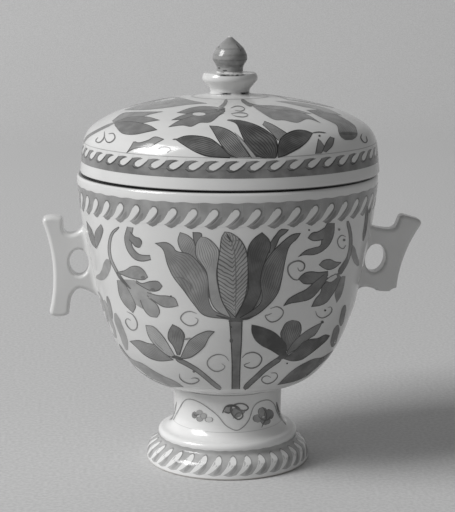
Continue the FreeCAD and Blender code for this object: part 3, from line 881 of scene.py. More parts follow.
RIGHT_SPRAY = {
    "top leaf": petal(
        [(297.5, 257.3), (305, 250.5), (313, 247.7), (320, 245.5), (321.5, 238), (324, 229),
         (327, 223)],
        [(297.5, 257.3), (304, 255.2), (314, 255), (323, 251), (330, 244), (334, 234),
         (334.7, 223)],
        0.64, lines=0.5, edge=0.6, layer=1),
    "top leaf, lobe": petal(
        [(307.5, 238), (312, 232.5), (318, 231.3), (325, 227)],
        [(307.5, 238), (312, 240.8), (317, 241), (323, 240)],
        0.6, lines=0.45, edge=0.7, layer=2),
    "stem": line(
        [(347.5, 221), (350.5, 236), (350, 250), (346.5, 262), (341, 274)],
        3.6, 0.56, start=0.1, edge=0.6, layer=1),
    "thick of the stem": petal(
        [(347.3, 256), (342, 264), (338, 270), (338.5, 274.5)],
        [(347.3, 256), (348, 262), (345, 268), (340.5, 274.5)],
        0.88, layer=4),
    "side stem": line([(367.3, 206), (366, 222), (363, 241)], 3.4, 0.88, layer=1),
    "curl": line(
        [(346, 237), (341.5, 235.3), (337.6, 240), (338.7, 246), (343, 248.7), (346, 245)],
        1.1, 0.66),
    "curl dot": dot(344, 240, 1.3, 0.85),
    "loose dot": dot(339, 229.5, 1.2, 0.7),
    "bell": line([(352, 245), (354, 255), (358, 266)], 5.6, 0.52, layer=1),
    "cluster, top leaf": petal(
        [(318.7, 265), (323, 260.3), (330, 259), (335.5, 261.5), (341, 262)],
        [(318.7, 265), (324, 268.7), (329, 270), (335, 268), (341, 263)],
        0.56, lines=0.45, edge=0.65, layer=1),
    "cluster, dark leaf": petal(
        [(298, 279), (304, 273), (311, 271.3), (319, 272), (328, 271)],
        [(298, 279), (304, 284), (312, 284), (320, 281), (328, 276)],
        0.74, lines=0.45, edge=0.65, layer=2),
    "cluster, curl": line(
        [(301, 279.7), (294, 279.5), (288.8, 274), (288, 267), (292, 262.7), (299, 260.8),
         (304.3, 264), (303.5, 269.5), (299.5, 271), (297.5, 267.5)],
        1.5, 0.78),
    "cluster, long leaf": petal(
        [(283, 306.3), (288, 299), (296, 294), (306, 289), (314, 282), (324, 274)],
        [(283, 306.3), (291, 303.5), (300, 302), (310, 299.3), (318, 292), (328, 278)],
        0.74, lines=0.35, edge=0.65, layer=3),
    "cluster, low leaf": petal(
        [(311, 307), (315, 299), (320, 293), (322, 286), (329, 279), (338, 273)],
        [(311, 307), (319, 306), (326, 303), (331, 297), (336, 289), (341, 277)],
        0.63, lines=0.4, edge=0.55, layer=2),
    "cluster, white spot": petal(
        [(325, 281), (329, 277), (336, 273.5)], [(325, 281), (331, 282.5), (337, 278)],
        0.08, edge=0.8, layer=4),
    "cluster, side leaf": petal(
        [(336.5, 303), (334.5, 294), (337, 285), (342, 276)],
        [(336.5, 303), (341, 296), (344, 286), (345.5, 276)],
        0.56, layer=1),
}
SPECKS = {
    "speck by the spray": dot(171, 296, 0.75, 1.0),
    "speck by the border": dot(309, 230, 0.9, 1.0),
    "speck at the tendril": dot(325, 310, 0.7, 1.0),
    "speck by the node": dot(287, 363.3, 0.85, 1.0),
}
COVER_FLOWER = {
    "shade at the base": petal(
        [(221, 147), (226, 153), (231, 158.4)], [(285, 147), (281, 153), (275, 158.6)],
        0.7, lines=0.4, layer=0),
    "outer petal, left": petal(
        [(175, 139.5), (184, 136), (194, 135.3), (206, 137), (215, 141), (231, 155)],
        [(175, 139.5), (183, 145), (191, 150), (199, 154), (209, 157), (230, 158.4)],
        0.66, lines=0.75, edge=0.7, layer=1),
    "thread, left": line([(172.5, 139.5), (178, 139.2)], 1.3, 0.75),
    "second petal": petal(
        [(209, 125.7), (219, 126.5), (229, 130), (237, 136), (243, 144), (250, 156)],
        [(209, 125.7), (213, 132), (217, 139), (222, 147), (228, 154), (236, 158)],
        0.48, lines=1, edge=0.8, layer=3),
    "light petal": petal(
        [(234, 132), (242, 139), (249, 147), (257, 157)],
        [(236, 135), (242, 145), (247, 152), (251, 158)],
        0.2, lines=0.65, edge=0.75, layer=4),
    "small back petal": petal(
        [(264.5, 121), (272, 124), (279, 128), (287, 133)],
        [(262.3, 124.8), (267, 129), (272, 134), (278, 141)],
        0.36, lines=0.9, edge=0.85, layer=1),
    "dark petal": petal(
        [(228, 120.5), (237, 119.8), (248, 122), (259, 126), (269, 132), (276, 139),
         (278, 148), (276, 158)],
        [(228, 120.5), (236, 124), (240, 132), (244, 141), (249, 149), (256, 156), (266, 158.5)],
        0.8, lines=0.85, edge=0.65, layer=3),
    "outer petal, right": petal(
        [(313, 133), (305, 130.3), (296, 129.8), (287, 133), (280, 139), (277.5, 148), (278, 157)],
        [(313, 133), (308, 141), (300, 148), (292, 152.5), (285, 156), (278, 158)],
        0.8, lines=0.5, edge=0.75, layer=2),
    "thread, right": line([(312, 133), (319, 132.2), (326, 133)], 1.2, 0.8),
    "thread at the tip": line([(227, 120.3), (235, 120.5)], 1.6, 0.85, layer=5),
}
COVER_LEAVES = {
    "stalk, left": line([(226.5, 99.5), (224, 104.5), (217, 110)], 3.2, 0.58, start=0.1),
    "near leaf, top": petal(
        [(176.5, 112.8), (188, 108.5), (200, 106.3), (212, 106.5), (225, 108)],
        [(176.5, 112.8), (188, 113.8), (200, 113.5), (212, 113), (225, 112)],
        0.62, lines=0.4, edge=0.6, layer=1),
    "near leaf, middle": petal(
        [(171, 120.3), (182, 115.3), (195, 112), (209, 110), (224, 109.5)],
        [(171, 120.3), (184, 119.8), (197, 120), (211, 119.5), (224, 113)],
        0.66, lines=0.4, edge=0.6, layer=2),
    "near leaf, low": petal(
        [(168, 127.3), (178, 121), (190, 116.8), (206, 113.5), (222, 111)],
        [(168, 127.3), (182, 125.5), (191, 126.8), (200, 122.8), (211, 122), (223, 112)],
        0.64, lines=0.4, edge=0.6, layer=3),
    "near leaf, white spot": dot(199, 114.3, 6.5, 0.05, tall=1.7),
    "wedge": petal(
        [(124, 110), (135, 106), (150, 102), (165, 98.8), (177, 97.2), (192, 100.5), (207, 103.3)],
        [(124, 110), (140, 110), (155, 109), (170, 107.2), (185, 105), (196, 104), (207, 103.5)],
        0.44, edge=0.4, layer=1),
    "far stalk": line(
        [(83, 143.5), (88, 136.5), (97, 131), (106, 126.5), (116, 122)], 2.6, 0.5, layer=1),
    "far leaf, top": petal(
        [(163.5, 111.5), (146, 111.7), (132, 112), (122, 113.5), (112, 121)],
        [(163.5, 111.5), (150, 114.5), (138, 118), (126, 121), (114, 123)],
        0.5, lines=0.3, edge=0.5, layer=1),
    "far leaf, middle": petal(
        [(160, 120.2), (148, 116.8), (136, 116.5), (126, 118), (115, 122)],
        [(160, 120.2), (149, 122), (137, 124.5), (126, 126), (115, 124)],
        0.56, lines=0.3, edge=0.65, layer=2),
    "far leaf, low": petal(
        [(157.5, 130), (150, 125.5), (139, 122.5), (127, 121.5), (114, 123)],
        [(157.5, 130), (147, 132.3), (134, 134.8), (122, 133.5), (115, 126)],
        0.62, lines=0.3, edge=0.6, layer=3),
    "stalk, right": line([(241.5, 99.5), (246, 103), (252, 106)], 3.6, 0.55, start=0.1),
    "right leaf, top": petal(
        [(312, 114), (300, 110.5), (286, 107), (272, 105.5), (259, 105), (246, 102)],
        [(312, 114), (300, 113), (286, 112), (272, 111.5), (260, 109), (248, 104)],
        0.5, edge=0.5, layer=1),
    "right leaf, low": petal(
        [(321, 123.3), (309, 115.5), (297, 111.5), (284, 110), (268, 108.5), (250, 104)],
        [(321, 123.3), (308, 119), (297, 122.7), (284, 120.3), (273, 119.3), (256, 109)],
        0.52, lines=0.25, edge=0.55, layer=2),
    "rim band": petal(
        [(275, 101), (290, 101.5), (305, 103.3), (320, 106.5), (331, 110), (342, 115.5)],
        [(275, 101), (290, 103.8), (303, 106.7), (317, 109.3), (329, 113), (342, 115.5)],
        0.4, layer=1),
    "side leaf": petal(
        [(306, 110), (322, 110), (335, 114), (346, 119.5), (355, 126), (357.5, 134)],
        [(306, 110), (320, 117), (331, 122), (337, 126), (339, 134), (345, 139.5)],
        0.58, lines=0.25, edge=0.4, layer=1),
    "side leaf, shade": line([(339, 133.5), (347, 133.3), (357, 133.8)], 2.8, 0.92, layer=4),
    "side leaf, end": petal(
        [(339, 134), (341, 137.5), (345, 140)], [(357.5, 134), (356, 137.5), (352, 140)],
        0.66, layer=2),
    "scroll, top": line(
        [(230.5, 108.3), (236, 106.2), (242, 106.8), (244.7, 109.2), (241, 111.2), (235, 110.5)],
        0.9, 0.5),
    "scroll, low": line(
        [(231, 113.7), (238, 112.8), (245, 113.3), (248, 115.2), (243.5, 117), (236, 116.3),
         (231.5, 114.5)],
        0.9, 0.6),
    "scroll, far left": line(
        [(104.5, 131.5), (104, 138), (99.5, 142.5), (95.7, 141), (98, 137.3)], 1.2, 0.7),
    "scroll, left": line(
        [(104.5, 137), (107, 142), (111.3, 142), (115, 138), (113.3, 133.5), (108.5, 134)],
        1.2, 0.66),
    "scroll, right": line(
        [(362, 133.5), (360.7, 138), (364, 142.5), (367, 141.5), (366, 136)], 1.2, 0.86),
    "twig leaf": petal(
        [(126, 153.5), (131, 146), (134, 141.3), (139, 142.5), (148, 140), (155, 136.5), (164, 139)],
        [(126, 153.5), (133, 149.5), (142, 147.5), (150, 147), (158, 142.7), (164, 139.5)],
        0.42, edge=0.55, layer=1),
    "hook": line(
        [(157.5, 149), (163, 146.8), (168.5, 147.5), (170.5, 150), (167, 152.7)], 1.7, 0.52),
    "bud, left lobe": petal(
        [(318, 138.5), (316.5, 146), (315, 154)], [(320.5, 140.5), (325, 148), (321, 153.5)],
        0.62, edge=0.5, layer=1),
    "bud, right lobe": petal(
        [(330, 136.5), (326, 142), (322, 151)], [(334.5, 138), (332.5, 146), (326, 152.5)],
        0.7, edge=0.5, layer=2),
    "bud, dot": dot(319.3, 135.8, 1.1, 0.95),
}
FOOT_VINE = {
    "vine": line(
        [(173.5, 420), (178, 411), (184.6, 400.6), (191, 399.3), (200, 402.5), (209, 408.5),
         (218, 416), (226, 425.5), (236, 430.3), (243, 427), (249, 419.6), (253, 408),
         (259, 402), (268, 400), (274, 404), (277, 412), (281.5, 420.5)],
        0.9, 0.42, start=0.03, stop=0.03),
    "grey flower, left": dot(194.6, 415, 2.8, 0.5, tall=3.6, layer=1),
    "grey flower, top": dot(199.5, 412.6, 3.2, 0.36, tall=3.0, layer=2),
    "grey flower, low": dot(199.8, 419, 3.4, 0.34, tall=2.8, edge=0.2, layer=1),
    "grey flower, right": dot(203.6, 416, 3.4, 0.34, tall=3.2, edge=0.25, layer=3),
    "grey flower, far": dot(209, 419.6, 4.2, 0.12, tall=2.8, edge=0.4, layer=2),
    "grey flower, mark": line([(193.6, 413), (195.4, 415.6), (199.5, 414)], 1.4, 0.72, layer=5),
    "loops": line(
        [(222.5, 413), (226, 406.5), (233, 405.3), (239, 409.5), (245, 410.7), (248.3, 407.7),
         (244, 404), (236.5, 404), (230.5, 408), (232.5, 415), (238, 419.4), (242.7, 416.5),
         (241, 411), (235.5, 408)],
        1.4, 0.84, start=0.05, stop=0.05),
    "loop, left": line(
        [(224, 411.5), (228.5, 413), (232, 410.5), (230.5, 406.5), (226.5, 406)],
        1.4, 0.8, start=0.1, stop=0.1, layer=5),
    "loop, low": line([(233, 418.5), (237.5, 413), (243.5, 413), (245, 409)], 1.2, 0.76, layer=5),
    "loops, thick": line([(226, 406.7), (233, 405.5), (240, 408.5)], 2.2, 0.95, layer=5),
    "loops, wash": dot(236.5, 412.5, 5.4, 0.5, tall=5.4, layer=1),
    "loops, wash on the left": dot(228.5, 409.5, 3.8, 0.4, tall=3.4, layer=1),
    "petal, left": dot(257.5, 418.4, 4.8, 0.42, tall=4.2, edge=0.35, layer=1),
    "petal, top": dot(262.4, 411.8, 4.6, 0.46, tall=4.8, edge=0.3, layer=2),
    "petal, right": dot(268.8, 414.4, 4.8, 0.56, tall=5.4, edge=0.35, layer=3),
    "petal, low": dot(265.4, 421, 5.0, 0.5, tall=4.0, edge=0.25, layer=2),
    "petals, line": line(
        [(262.5, 407), (265.5, 412), (266.3, 418), (263.5, 423), (261.5, 427.5)], 1.3, 0.84,
        layer=5),
    "petals, curl": line([(258, 415.5), (262, 419.5), (267, 420), (270.5, 416.5)], 1.2, 0.8,
                         layer=5),
    "side line": line([(276.5, 402), (278.5, 411), (283, 420), (286, 425)], 1.8, 0.8),
    "left line": line([(176.5, 402), (174.5, 412), (171.5, 420)], 1.0, 0.42),
}

# Rope borders: one repeat each, in millimetres along the circle and above the table
CUP_BORDER = {
    "wash": patch((0, 7.2), (98.1, 106.4), 0.34, wave=0.15, scallop=0.6),
    "drop": line([(5.9, 103.5), (4.9, 102.9), (3.5, 101.2), (1.9, 99.4), (0.2, 98.4), (-1.0, 98.2)],
                 2.9, 0.0, start=0.1, stop=1.0, layer=1),
    "head": dot(5.0, 102.9, 1.2, 0.0, tall=1.3, layer=2),
    "round the head": line(
        [(3.6, 103.2), (4.7, 104.5), (6.0, 104.3), (6.6, 102.9), (5.6, 100.8), (3.6, 98.9)],
        0.42, 0.58),
    "shade of the stroke": line([(7.6, 101.6), (6.2, 99.4), (4.4, 97.9), (2.6, 97.8)], 1.3, 0.46,
                                layer=2),
}
COVER_BORDER = {
    "strip": patch((0, 7.05), (114.7, 117.6), 0.52),
    "wash": patch((0, 7.05), (117.5, 120.4), 0.46, wave=0.2),
    "drop": line([(0.5, 118.2), (2.2, 118.5), (4.2, 119.5), (6.6, 121.2)], 2.3, 0.0, start=0.12,
                 stop=0.7, layer=1),
    "under the drop": line(
        [(-0.8, 117.7), (0.4, 116.9), (2.2, 117.1), (4.2, 118.2), (6.2, 120.0)], 0.55, 0.84),
    "over the drop": line([(-0.6, 118.0), (1.0, 119.4), (2.9, 120.6)], 0.42, 0.7),
}
COVER_LINES = {"line over the border": patch((0, 7.05), (121.5, 121.75), 0.22)}
FOOT_BORDER = {
    "wash": patch((0, 5.8), (1.9, 9.9), 0.25, wave=0.1, scallop=0.3, grain=0.4),
    "drop": line([(4.9, 7.3), (3.9, 6.1), (2.5, 4.3), (1.0, 2.9), (-0.4, 1.9)], 2.4, 0.0,
                 start=0.3, stop=0.9, grain=0.35, layer=2),
    "head": dot(4.5, 6.6, 1.2, 0.0, tall=1.3, layer=3),
    "beside the drop": line([(5.9, 5.6), (4.6, 3.7), (3.0, 2.2)], 1.2, 0.36, grain=0.45, layer=3),
    "round the head": line([(3.4, 7.6), (4.7, 8.1), (5.8, 7.1), (5.6, 5.6), (4.0, 3.8)], 0.4, 0.42,
                           grain=0.35, layer=4),
}
STEM_LINES = {"line under the bowl": patch((0, 7.0), (29.2, 29.45), 0.3)}
FLARE_LINE = {"line over the band": patch((0, 7.0), (15.2, 15.4), 0.12)}
KNOB_RING = {"ring round the knob": patch((0, 7.0), (137.75, 137.85), 0.16)}
BUD_WASH = {
    "wash": patch((0, 6.4), (146.9, 159.2), 0.36, grain=0.3),
    "low ring": line([(0, 149.0), (3.4, 148.9), (6.8, 149.2)], 1.0, 0.46, grain=0.4, layer=4),
    "ring": line([(1.5, 151.2), (4.5, 151.1), (7.5, 151.3)], 0.5, 0.46, grain=0.4, layer=4),
    "wide ring": line([(0.5, 153.0), (3.6, 152.9), (6.6, 153.1)], 0.7, 0.42, grain=0.4, layer=4),
    "top ring": line([(2.5, 155.2), (5.5, 155.1), (8.5, 155.3)], 0.5, 0.44, grain=0.4, layer=4),
}
BUD_CHIPS = {
    "chip": dot(216.5, 66.2, 1.3, 1.0, tall=0.9),
    "chip by it": dot(219.3, 68, 1.2, 0.9, tall=0.8),
    "low chip": dot(225, 70.6, 2.2, 0.95, tall=0.7),
    "worn place": line([(236, 44), (239.5, 48.5), (241, 51.5)], 0.8, 0.8, grain=0.8),
    "worn place, left": line([(217.5, 49.5), (219.5, 46)], 1.2, 0.66, grain=0.8),
}


# Rings: strokes, how often they come round, radius of the circle on which they are
# measured, and by how much of a repeat they are turned
BOWL_RINGS = [(CUP_BORDER, 48, 55.2 * MM, 0.1)]
FOOT_RINGS = [
    (FOOT_BORDER, 33, 30.45 * MM, 0.2), (STEM_LINES, 18, 20.1 * MM, 0),
    (FLARE_LINE, 19, 21.3 * MM, 0),
]
COVER_RINGS = [
    (COVER_BORDER, 49, 54.95 * MM, 0.3), (COVER_LINES, 49, 54.95 * MM, 0),
    (KNOB_RING, 12, 13.37 * MM, 0),
]
BUD_RINGS = [(BUD_WASH, 6, 6.12 * MM, 0)]

# Plants, and how much ink the brush held for each
BOWL_PLANTS = (
    (TULIP, 0.95), (LEFT_SPROUT, 0.78), (RIGHT_SPROUT, 0.95), (LEFT_SPRAY, 0.7),
    (RIGHT_SPRAY, 0.8), (SPECKS, 1.3),
)
FOOT_PLANTS = ((FOOT_VINE, 0.85),)
COVER_PLANTS = ((COVER_FLOWER, 1.05), (COVER_LEAVES, 0.9))
BUD_MARKS = ((BUD_CHIPS, 1),)

# Heights from which each form is seen when paint is placed on it
BOWL_MIDDLE = 80 * MM
FOOT_MIDDLE = 15 * MM
DOME_MIDDLE = SEAT_HEIGHT - 10 * MM
BUD_SKIN_FROM = 7.9 * MM
BUD_MIDDLE_ABOVE = 5 * MM


class MakeCup(bpy.types.Operator):
    """Turned body of the cup, with its hollow foot"""

    bl_idname = "covered_cup.cup"
    bl_label = "Make the cup"

    def execute(self, context):
        sizes = context.scene.cup_sizes
        outline = glazed(cup_outline(sizes))
        body = revolved("cup_body", outline, CUP_AXIS, sizes.segments, "cup")
        body.data.materials.append(glaze_material())
        return {"FINISHED"}


class MakeHandles(bpy.types.Operator):
    """Two bracket handles, stuck on with slip"""

    bl_idname = "covered_cup.handles"
    bl_label = "Make the handles"

    PROUD = 0.06 * MM
    UNDER_RIM = 5 * MM
    ROOT_DEPTH = 1.5 * MM
    SHARP_FROM = math.radians(38)

    def execute(self, context):
        """Takes what of the cup's solid stands out of the turned wall.

        Its triangles are merged, and each root is carried into the wall and closed
        there.
        """
        side = bowl_side(context.scene.cup_sizes).array()[::-1]
        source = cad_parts["cup"].data
        verts = np.empty(len(source.vertices) * 3)
        source.vertices.foreach_get("co", verts)
        verts = verts.reshape(-1, 3)
        loops = np.empty(len(source.polygons) * 3, int)
        source.polygons.foreach_get("vertices", loops)
        tris = loops.reshape(-1, 3)
        radius = np.hypot(verts[:, 0] - CUP_AXIS, verts[:, 1])
        proud = radius - np.interp(verts[:, 2], side[:, 1], side[:, 0])
        beside = (verts[:, 2] > side[0, 1]) & (verts[:, 2] < side[-1, 1] - self.UNDER_RIM)
        out = (proud > self.PROUD) & beside
        keep = tris[out[tris].any(1)]
        used, faces = np.unique(keep, return_inverse=True)
        piece = new_piece(
            "cup_handles", verts[used].tolist(), faces.reshape(-1, 3).tolist(),
            "cup",
        )
        solid = bmesh.new()
        solid.from_mesh(piece.data)
        bmesh.ops.remove_doubles(solid, verts=solid.verts, dist=1e-6)
        rim = [e for e in solid.edges if e.is_boundary]
        ring = bmesh.ops.extrude_edge_only(solid, edges=rim)["geom"]
        for vert in ring:
            if isinstance(vert, bmesh.types.BMVert):
                outward = Vector((vert.co.x - CUP_AXIS, vert.co.y, 0)).normalized()
                vert.co -= self.ROOT_DEPTH * outward
        bmesh.ops.holes_fill(solid, edges=[e for e in solid.edges if e.is_boundary])
        bmesh.ops.recalc_face_normals(solid, faces=solid.faces)
        for face in solid.faces:
            face.smooth = True
        solid.to_mesh(piece.data)
        solid.free()
        piece.data.set_sharp_from_angle(angle=self.SHARP_FROM)
        weighted = piece.modifiers.new("soft edges", "WEIGHTED_NORMAL")
        weighted.keep_sharp = True
        piece.data.materials.append(glaze_material())
        return {"FINISHED"}


class MakeCover(bpy.types.Operator):
    """Cover with its knob"""

    bl_idname = "covered_cup.cover"
    bl_label = "Make the cover"

    def execute(self, context):
        sizes = context.scene.cover_sizes
        outline = glazed(cover_outline(sizes, flange_radius(context.scene.cup_sizes)))
        body = revolved(
            "cover_body", outline, COVER_AXIS, sizes.segments, "cover"
        )
        body.data.materials.append(glaze_material())
        return {"FINISHED"}


def painted(skin, name, node, slot, picture, rings):
    """Piece with all the strokes on one form."""
    painting = Painting(skin)
    for strokes, load in picture:
        painting.from_picture(strokes, load)
    for strokes, count, radius, phase in rings:
        painting.round_about(strokes, count, radius, phase)
    piece = painting.piece(name, node, slot)
    piece.data.materials.append(paint_material())
    return piece


class PaintCup(bpy.types.Operator):
    """Painting on the bowl and the foot"""

    bl_idname = "covered_cup.paint_cup"
    bl_label = "Paint the cup"

    def execute(self, context):
        sizes = context.scene.cup_sizes
        outline = glazed(cup_outline(sizes))
        start = outline[:, 1].argmin()
        outside = outline[start:start + outline[start:, 1].argmax()]
        on_bowl = outside[:, 1] > sizes.bowl_base
        bowl = Skin(outside[on_bowl], CUP_AXIS, BOWL_MIDDLE)
        foot = Skin(outside[~on_bowl], CUP_AXIS, FOOT_MIDDLE)
        painted(bowl, "bowl_painting", "cup", "cup_porcelain", BOWL_PLANTS, BOWL_RINGS)
        painted(foot, "foot_painting", "cup", "cup_porcelain", FOOT_PLANTS, FOOT_RINGS)
        return {"FINISHED"}


class PaintCover(bpy.types.Operator):
    """Painting on the cover and its bud"""

    bl_idname = "covered_cup.paint_cover"
    bl_label = "Paint the cover"

    OVER_SEAT = 0.8 * MM

    def execute(self, context):
        sizes = context.scene.cover_sizes
        outline = glazed(cover_outline(sizes, flange_radius(context.scene.cup_sizes)))
        outside = outline[:np.argmax(outline[:, 1] < SEAT_HEIGHT + self.OVER_SEAT)]
        collar = collar_root(sizes)
        dome = Skin(outside[outside[:, 1] < collar], COVER_AXIS, DOME_MIDDLE)
        neck = collar + BUD_SKIN_FROM
        bud = Skin(outside[outside[:, 1] > neck], COVER_AXIS, neck + BUD_MIDDLE_ABOVE)
        painted(dome, "cover_painting", "cover", "cover_porcelain", COVER_PLANTS, COVER_RINGS)
        painted(bud, "bud_painting", "cover", "cover_porcelain", BUD_MARKS, BUD_RINGS)
        return {"FINISHED"}


class NodeSketch:
    """Short way to add shader nodes and join them."""

    def __init__(self, name):
        self.material = bpy.data.materials.new(name)
        self.material.use_nodes = True
        self.tree = self.material.node_tree
        self.surface = self.tree.nodes["Principled BSDF"]

    def add(self, kind, inputs=(), **settings):
        node = self.tree.nodes.new(kind)
        for key, value in settings.items():
            setattr(node, key, value)
        for key, value in dict(inputs).items():
            if isinstance(value, bpy.types.NodeSocket):
                self.tree.links.new(value, node.inputs[key])
            else:
                node.inputs[key].default_value = value
        return node

    def math(self, operation, first, second=0.5):
        return self.add("ShaderNodeMath", {0: first, 1: second}, operation=operation).outputs[0]

    def noise(self, scale, detail=2.0, rough=0.5, vector=None):
        inputs = {"Scale": scale, "Detail": detail, "Roughness": rough}
        inputs["Vector"] = vector or self.add("ShaderNodeTexCoord").outputs["Object"]
        return self.add("ShaderNodeTexNoise", inputs).outputs["Fac"]

    def band(self, value, low, high, start=0.0, end=1.0):
        """Value mapped from low..high to start..end, held at both ends."""
        inputs = {"Value": value, 1: low, 2: high, 3: start, 4: end}
        return self.add("ShaderNodeMapRange", inputs, interpolation_type="SMOOTHSTEP").outputs[0]

    def mix(self, share, first, second):
        node = self.add("ShaderNodeMix", data_type="RGBA")
        for socket, value in ((0, share), (6, first), (7, second)):
            if isinstance(value, bpy.types.NodeSocket):
                self.tree.links.new(value, node.inputs[socket])
            else:
                node.inputs[socket].default_value = value
        return node.outputs[2]

    def link(self, value, socket):
        self.tree.links.new(value, self.surface.inputs[socket])


def gloss(sketch, roughness):
    """Clear glaze: very low waves come from the turning and the glaze's thickness."""
    place = sketch.add("ShaderNodeTexCoord").outputs["Object"]
    stretched = sketch.add("ShaderNodeMapping", {0: place, "Scale": (1, 1, 2.2)}).outputs[0]
    waves = sketch.noise(42.0, 2.0, 0.4, stretched)
    bump = sketch.add("ShaderNodeBump", {"Height": waves, "Distance": 0.35 * MM, "Strength": 0.35})
    sketch.link(bump.outputs[0], "Normal")
    sketch.surface.inputs["IOR"].default_value = 1.52
    sketch.surface.inputs["Roughness"].default_value = roughness


# Dark lines and marks: painted shade in the seam and in the crevices under the bud and at the
# collar's root, and wear on the collar's rim. Lowest, highest, nearest, farthest place, and how much
SHADE_AND_WEAR_PLACES = {
    "seam": (109.7, 110.7, 53.9, 57.0, 0.98),
    "under the bud": (146.3, 146.9, 4.0, 5.4, 0.5),
    "collar root": (138.8, 139.5, 6.8, 8.6, 0.6),
    "collar rim": (145.7, 146.7, 9.1, 10.2, 0.46),
}


def shade_and_wear_mask(sketch, height, out, low, high, near, far, amount):
    """Mask of one of the dark marks above, painted shade and wear alike, worn through by noise unless
    it is complete.
    """
    soft = 0.22 * MM
    parts = (
        sketch.band(height, low * MM - soft, low * MM + soft),
        sketch.band(height, high * MM - soft, high * MM + soft, 1, 0),
        sketch.band(out, near * MM - soft, near * MM + soft),
        sketch.band(out, far * MM - soft, far * MM + soft, 1, 0),
        sketch.band(sketch.noise(210.0, 2.0), 0.92 - amount, 1.06 - amount),
    )
    mask = parts[0]
    for part in parts[1:]:
        mask = sketch.math("MULTIPLY", mask, part)
    return mask


def glaze_material():
    """Clear glossy glaze on white porcelain, bare on the foot ring.

    Soft clouds vary the white, painted shade darkens the seam and the knob's crevices, and wear
    darkens the collar's rim.
    """
    done = bpy.data.materials.get("porcelain_glaze")
    if done:
        return done
    look = bpy.context.scene.glaze_look
    sketch = NodeSketch("porcelain_glaze")
    gloss(sketch, look.roughness)
    tone = clouded_white(sketch)
    place = sketch.add("ShaderNodeTexCoord").outputs["Object"]
    parts = sketch.add("ShaderNodeSeparateXYZ", {0: place}).outputs
    height = parts["Z"]
    across = sketch.math("SUBTRACT", parts["X"], CUP_AXIS)
    square = sketch.math("ADD", sketch.math("POWER", sketch.math("ABSOLUTE", across, 0), 2.0),
                         sketch.math("POWER", sketch.math("ABSOLUTE", parts["Y"], 0), 2.0))
    out = sketch.math("SQRT", square, 0)
    # Painted shade in the seam and crevices, and wear on the collar's rim, mixed in as a near-black
    # colour
    for limits in SHADE_AND_WEAR_PLACES.values():
        tone = sketch.mix(shade_and_wear_mask(sketch, height, out, *limits), tone, (*look.shade_and_wear, 1))
    wobble = sketch.math("MULTIPLY", sketch.noise(160.0, 2.0), 0.5 * MM)
    bare = sketch.band(sketch.math("SUBTRACT", height, wobble), 0.25 * MM, 0.55 * MM, 1, 0)
    tone = sketch.mix(bare, tone, (*look.bare, 1))
    sketch.link(tone, "Base Color")
    rough = sketch.add("ShaderNodeMath", {0: bare, 1: 0.55, 2: look.roughness})
    rough.operation = "MULTIPLY_ADD"
    sketch.link(rough.outputs[0], "Roughness")
    return sketch.material


def clouded_white(sketch):
    """White in soft clouds, with painted light on the foot, where it is made lighter."""
    look = bpy.context.scene.glaze_look
    shaded = tuple(0.94 * c for c in look.white)
    clouds = sketch.band(sketch.noise(38.0, 3.0), 0.35, 0.7)
    white = sketch.mix(clouds, (*look.white, 1), (*shaded, 1))
    place = sketch.add("ShaderNodeTexCoord").outputs["Object"]
    height = sketch.add("ShaderNodeSeparateXYZ", {0: place}).outputs["Z"]
    # Painted light: the white lightens on the foot, from 34 mm down to 20 mm
    on_foot = sketch.band(height, 20 * MM, 34 * MM, 1, 0)
    return sketch.mix(on_foot, white, (*look.painted_light_foot_white, 1))


# Brush lines over a whole stroke and per millimetre of it; beside a midrib, the ribs
# per millimetre and from the midrib to the edge
LINES_ACROSS, LINES_DRIFT = 10.0, 0.1
RIBS_ALONG, RIBS_ASIDE = 0.62, 6.0
LINE_SHOULDERS = (0.27, 0.46)
LINE_DENSITY = 0.6

# Outline of a stroke: where it fades, in millimetres from the edge, and its density
RIM_FADE = (0.16, 0.46)
RIM_DENSITY = 0.95

# Uneven wash: lowest and highest share of the stroke's density
BLOTS = (0.8, 1.16)


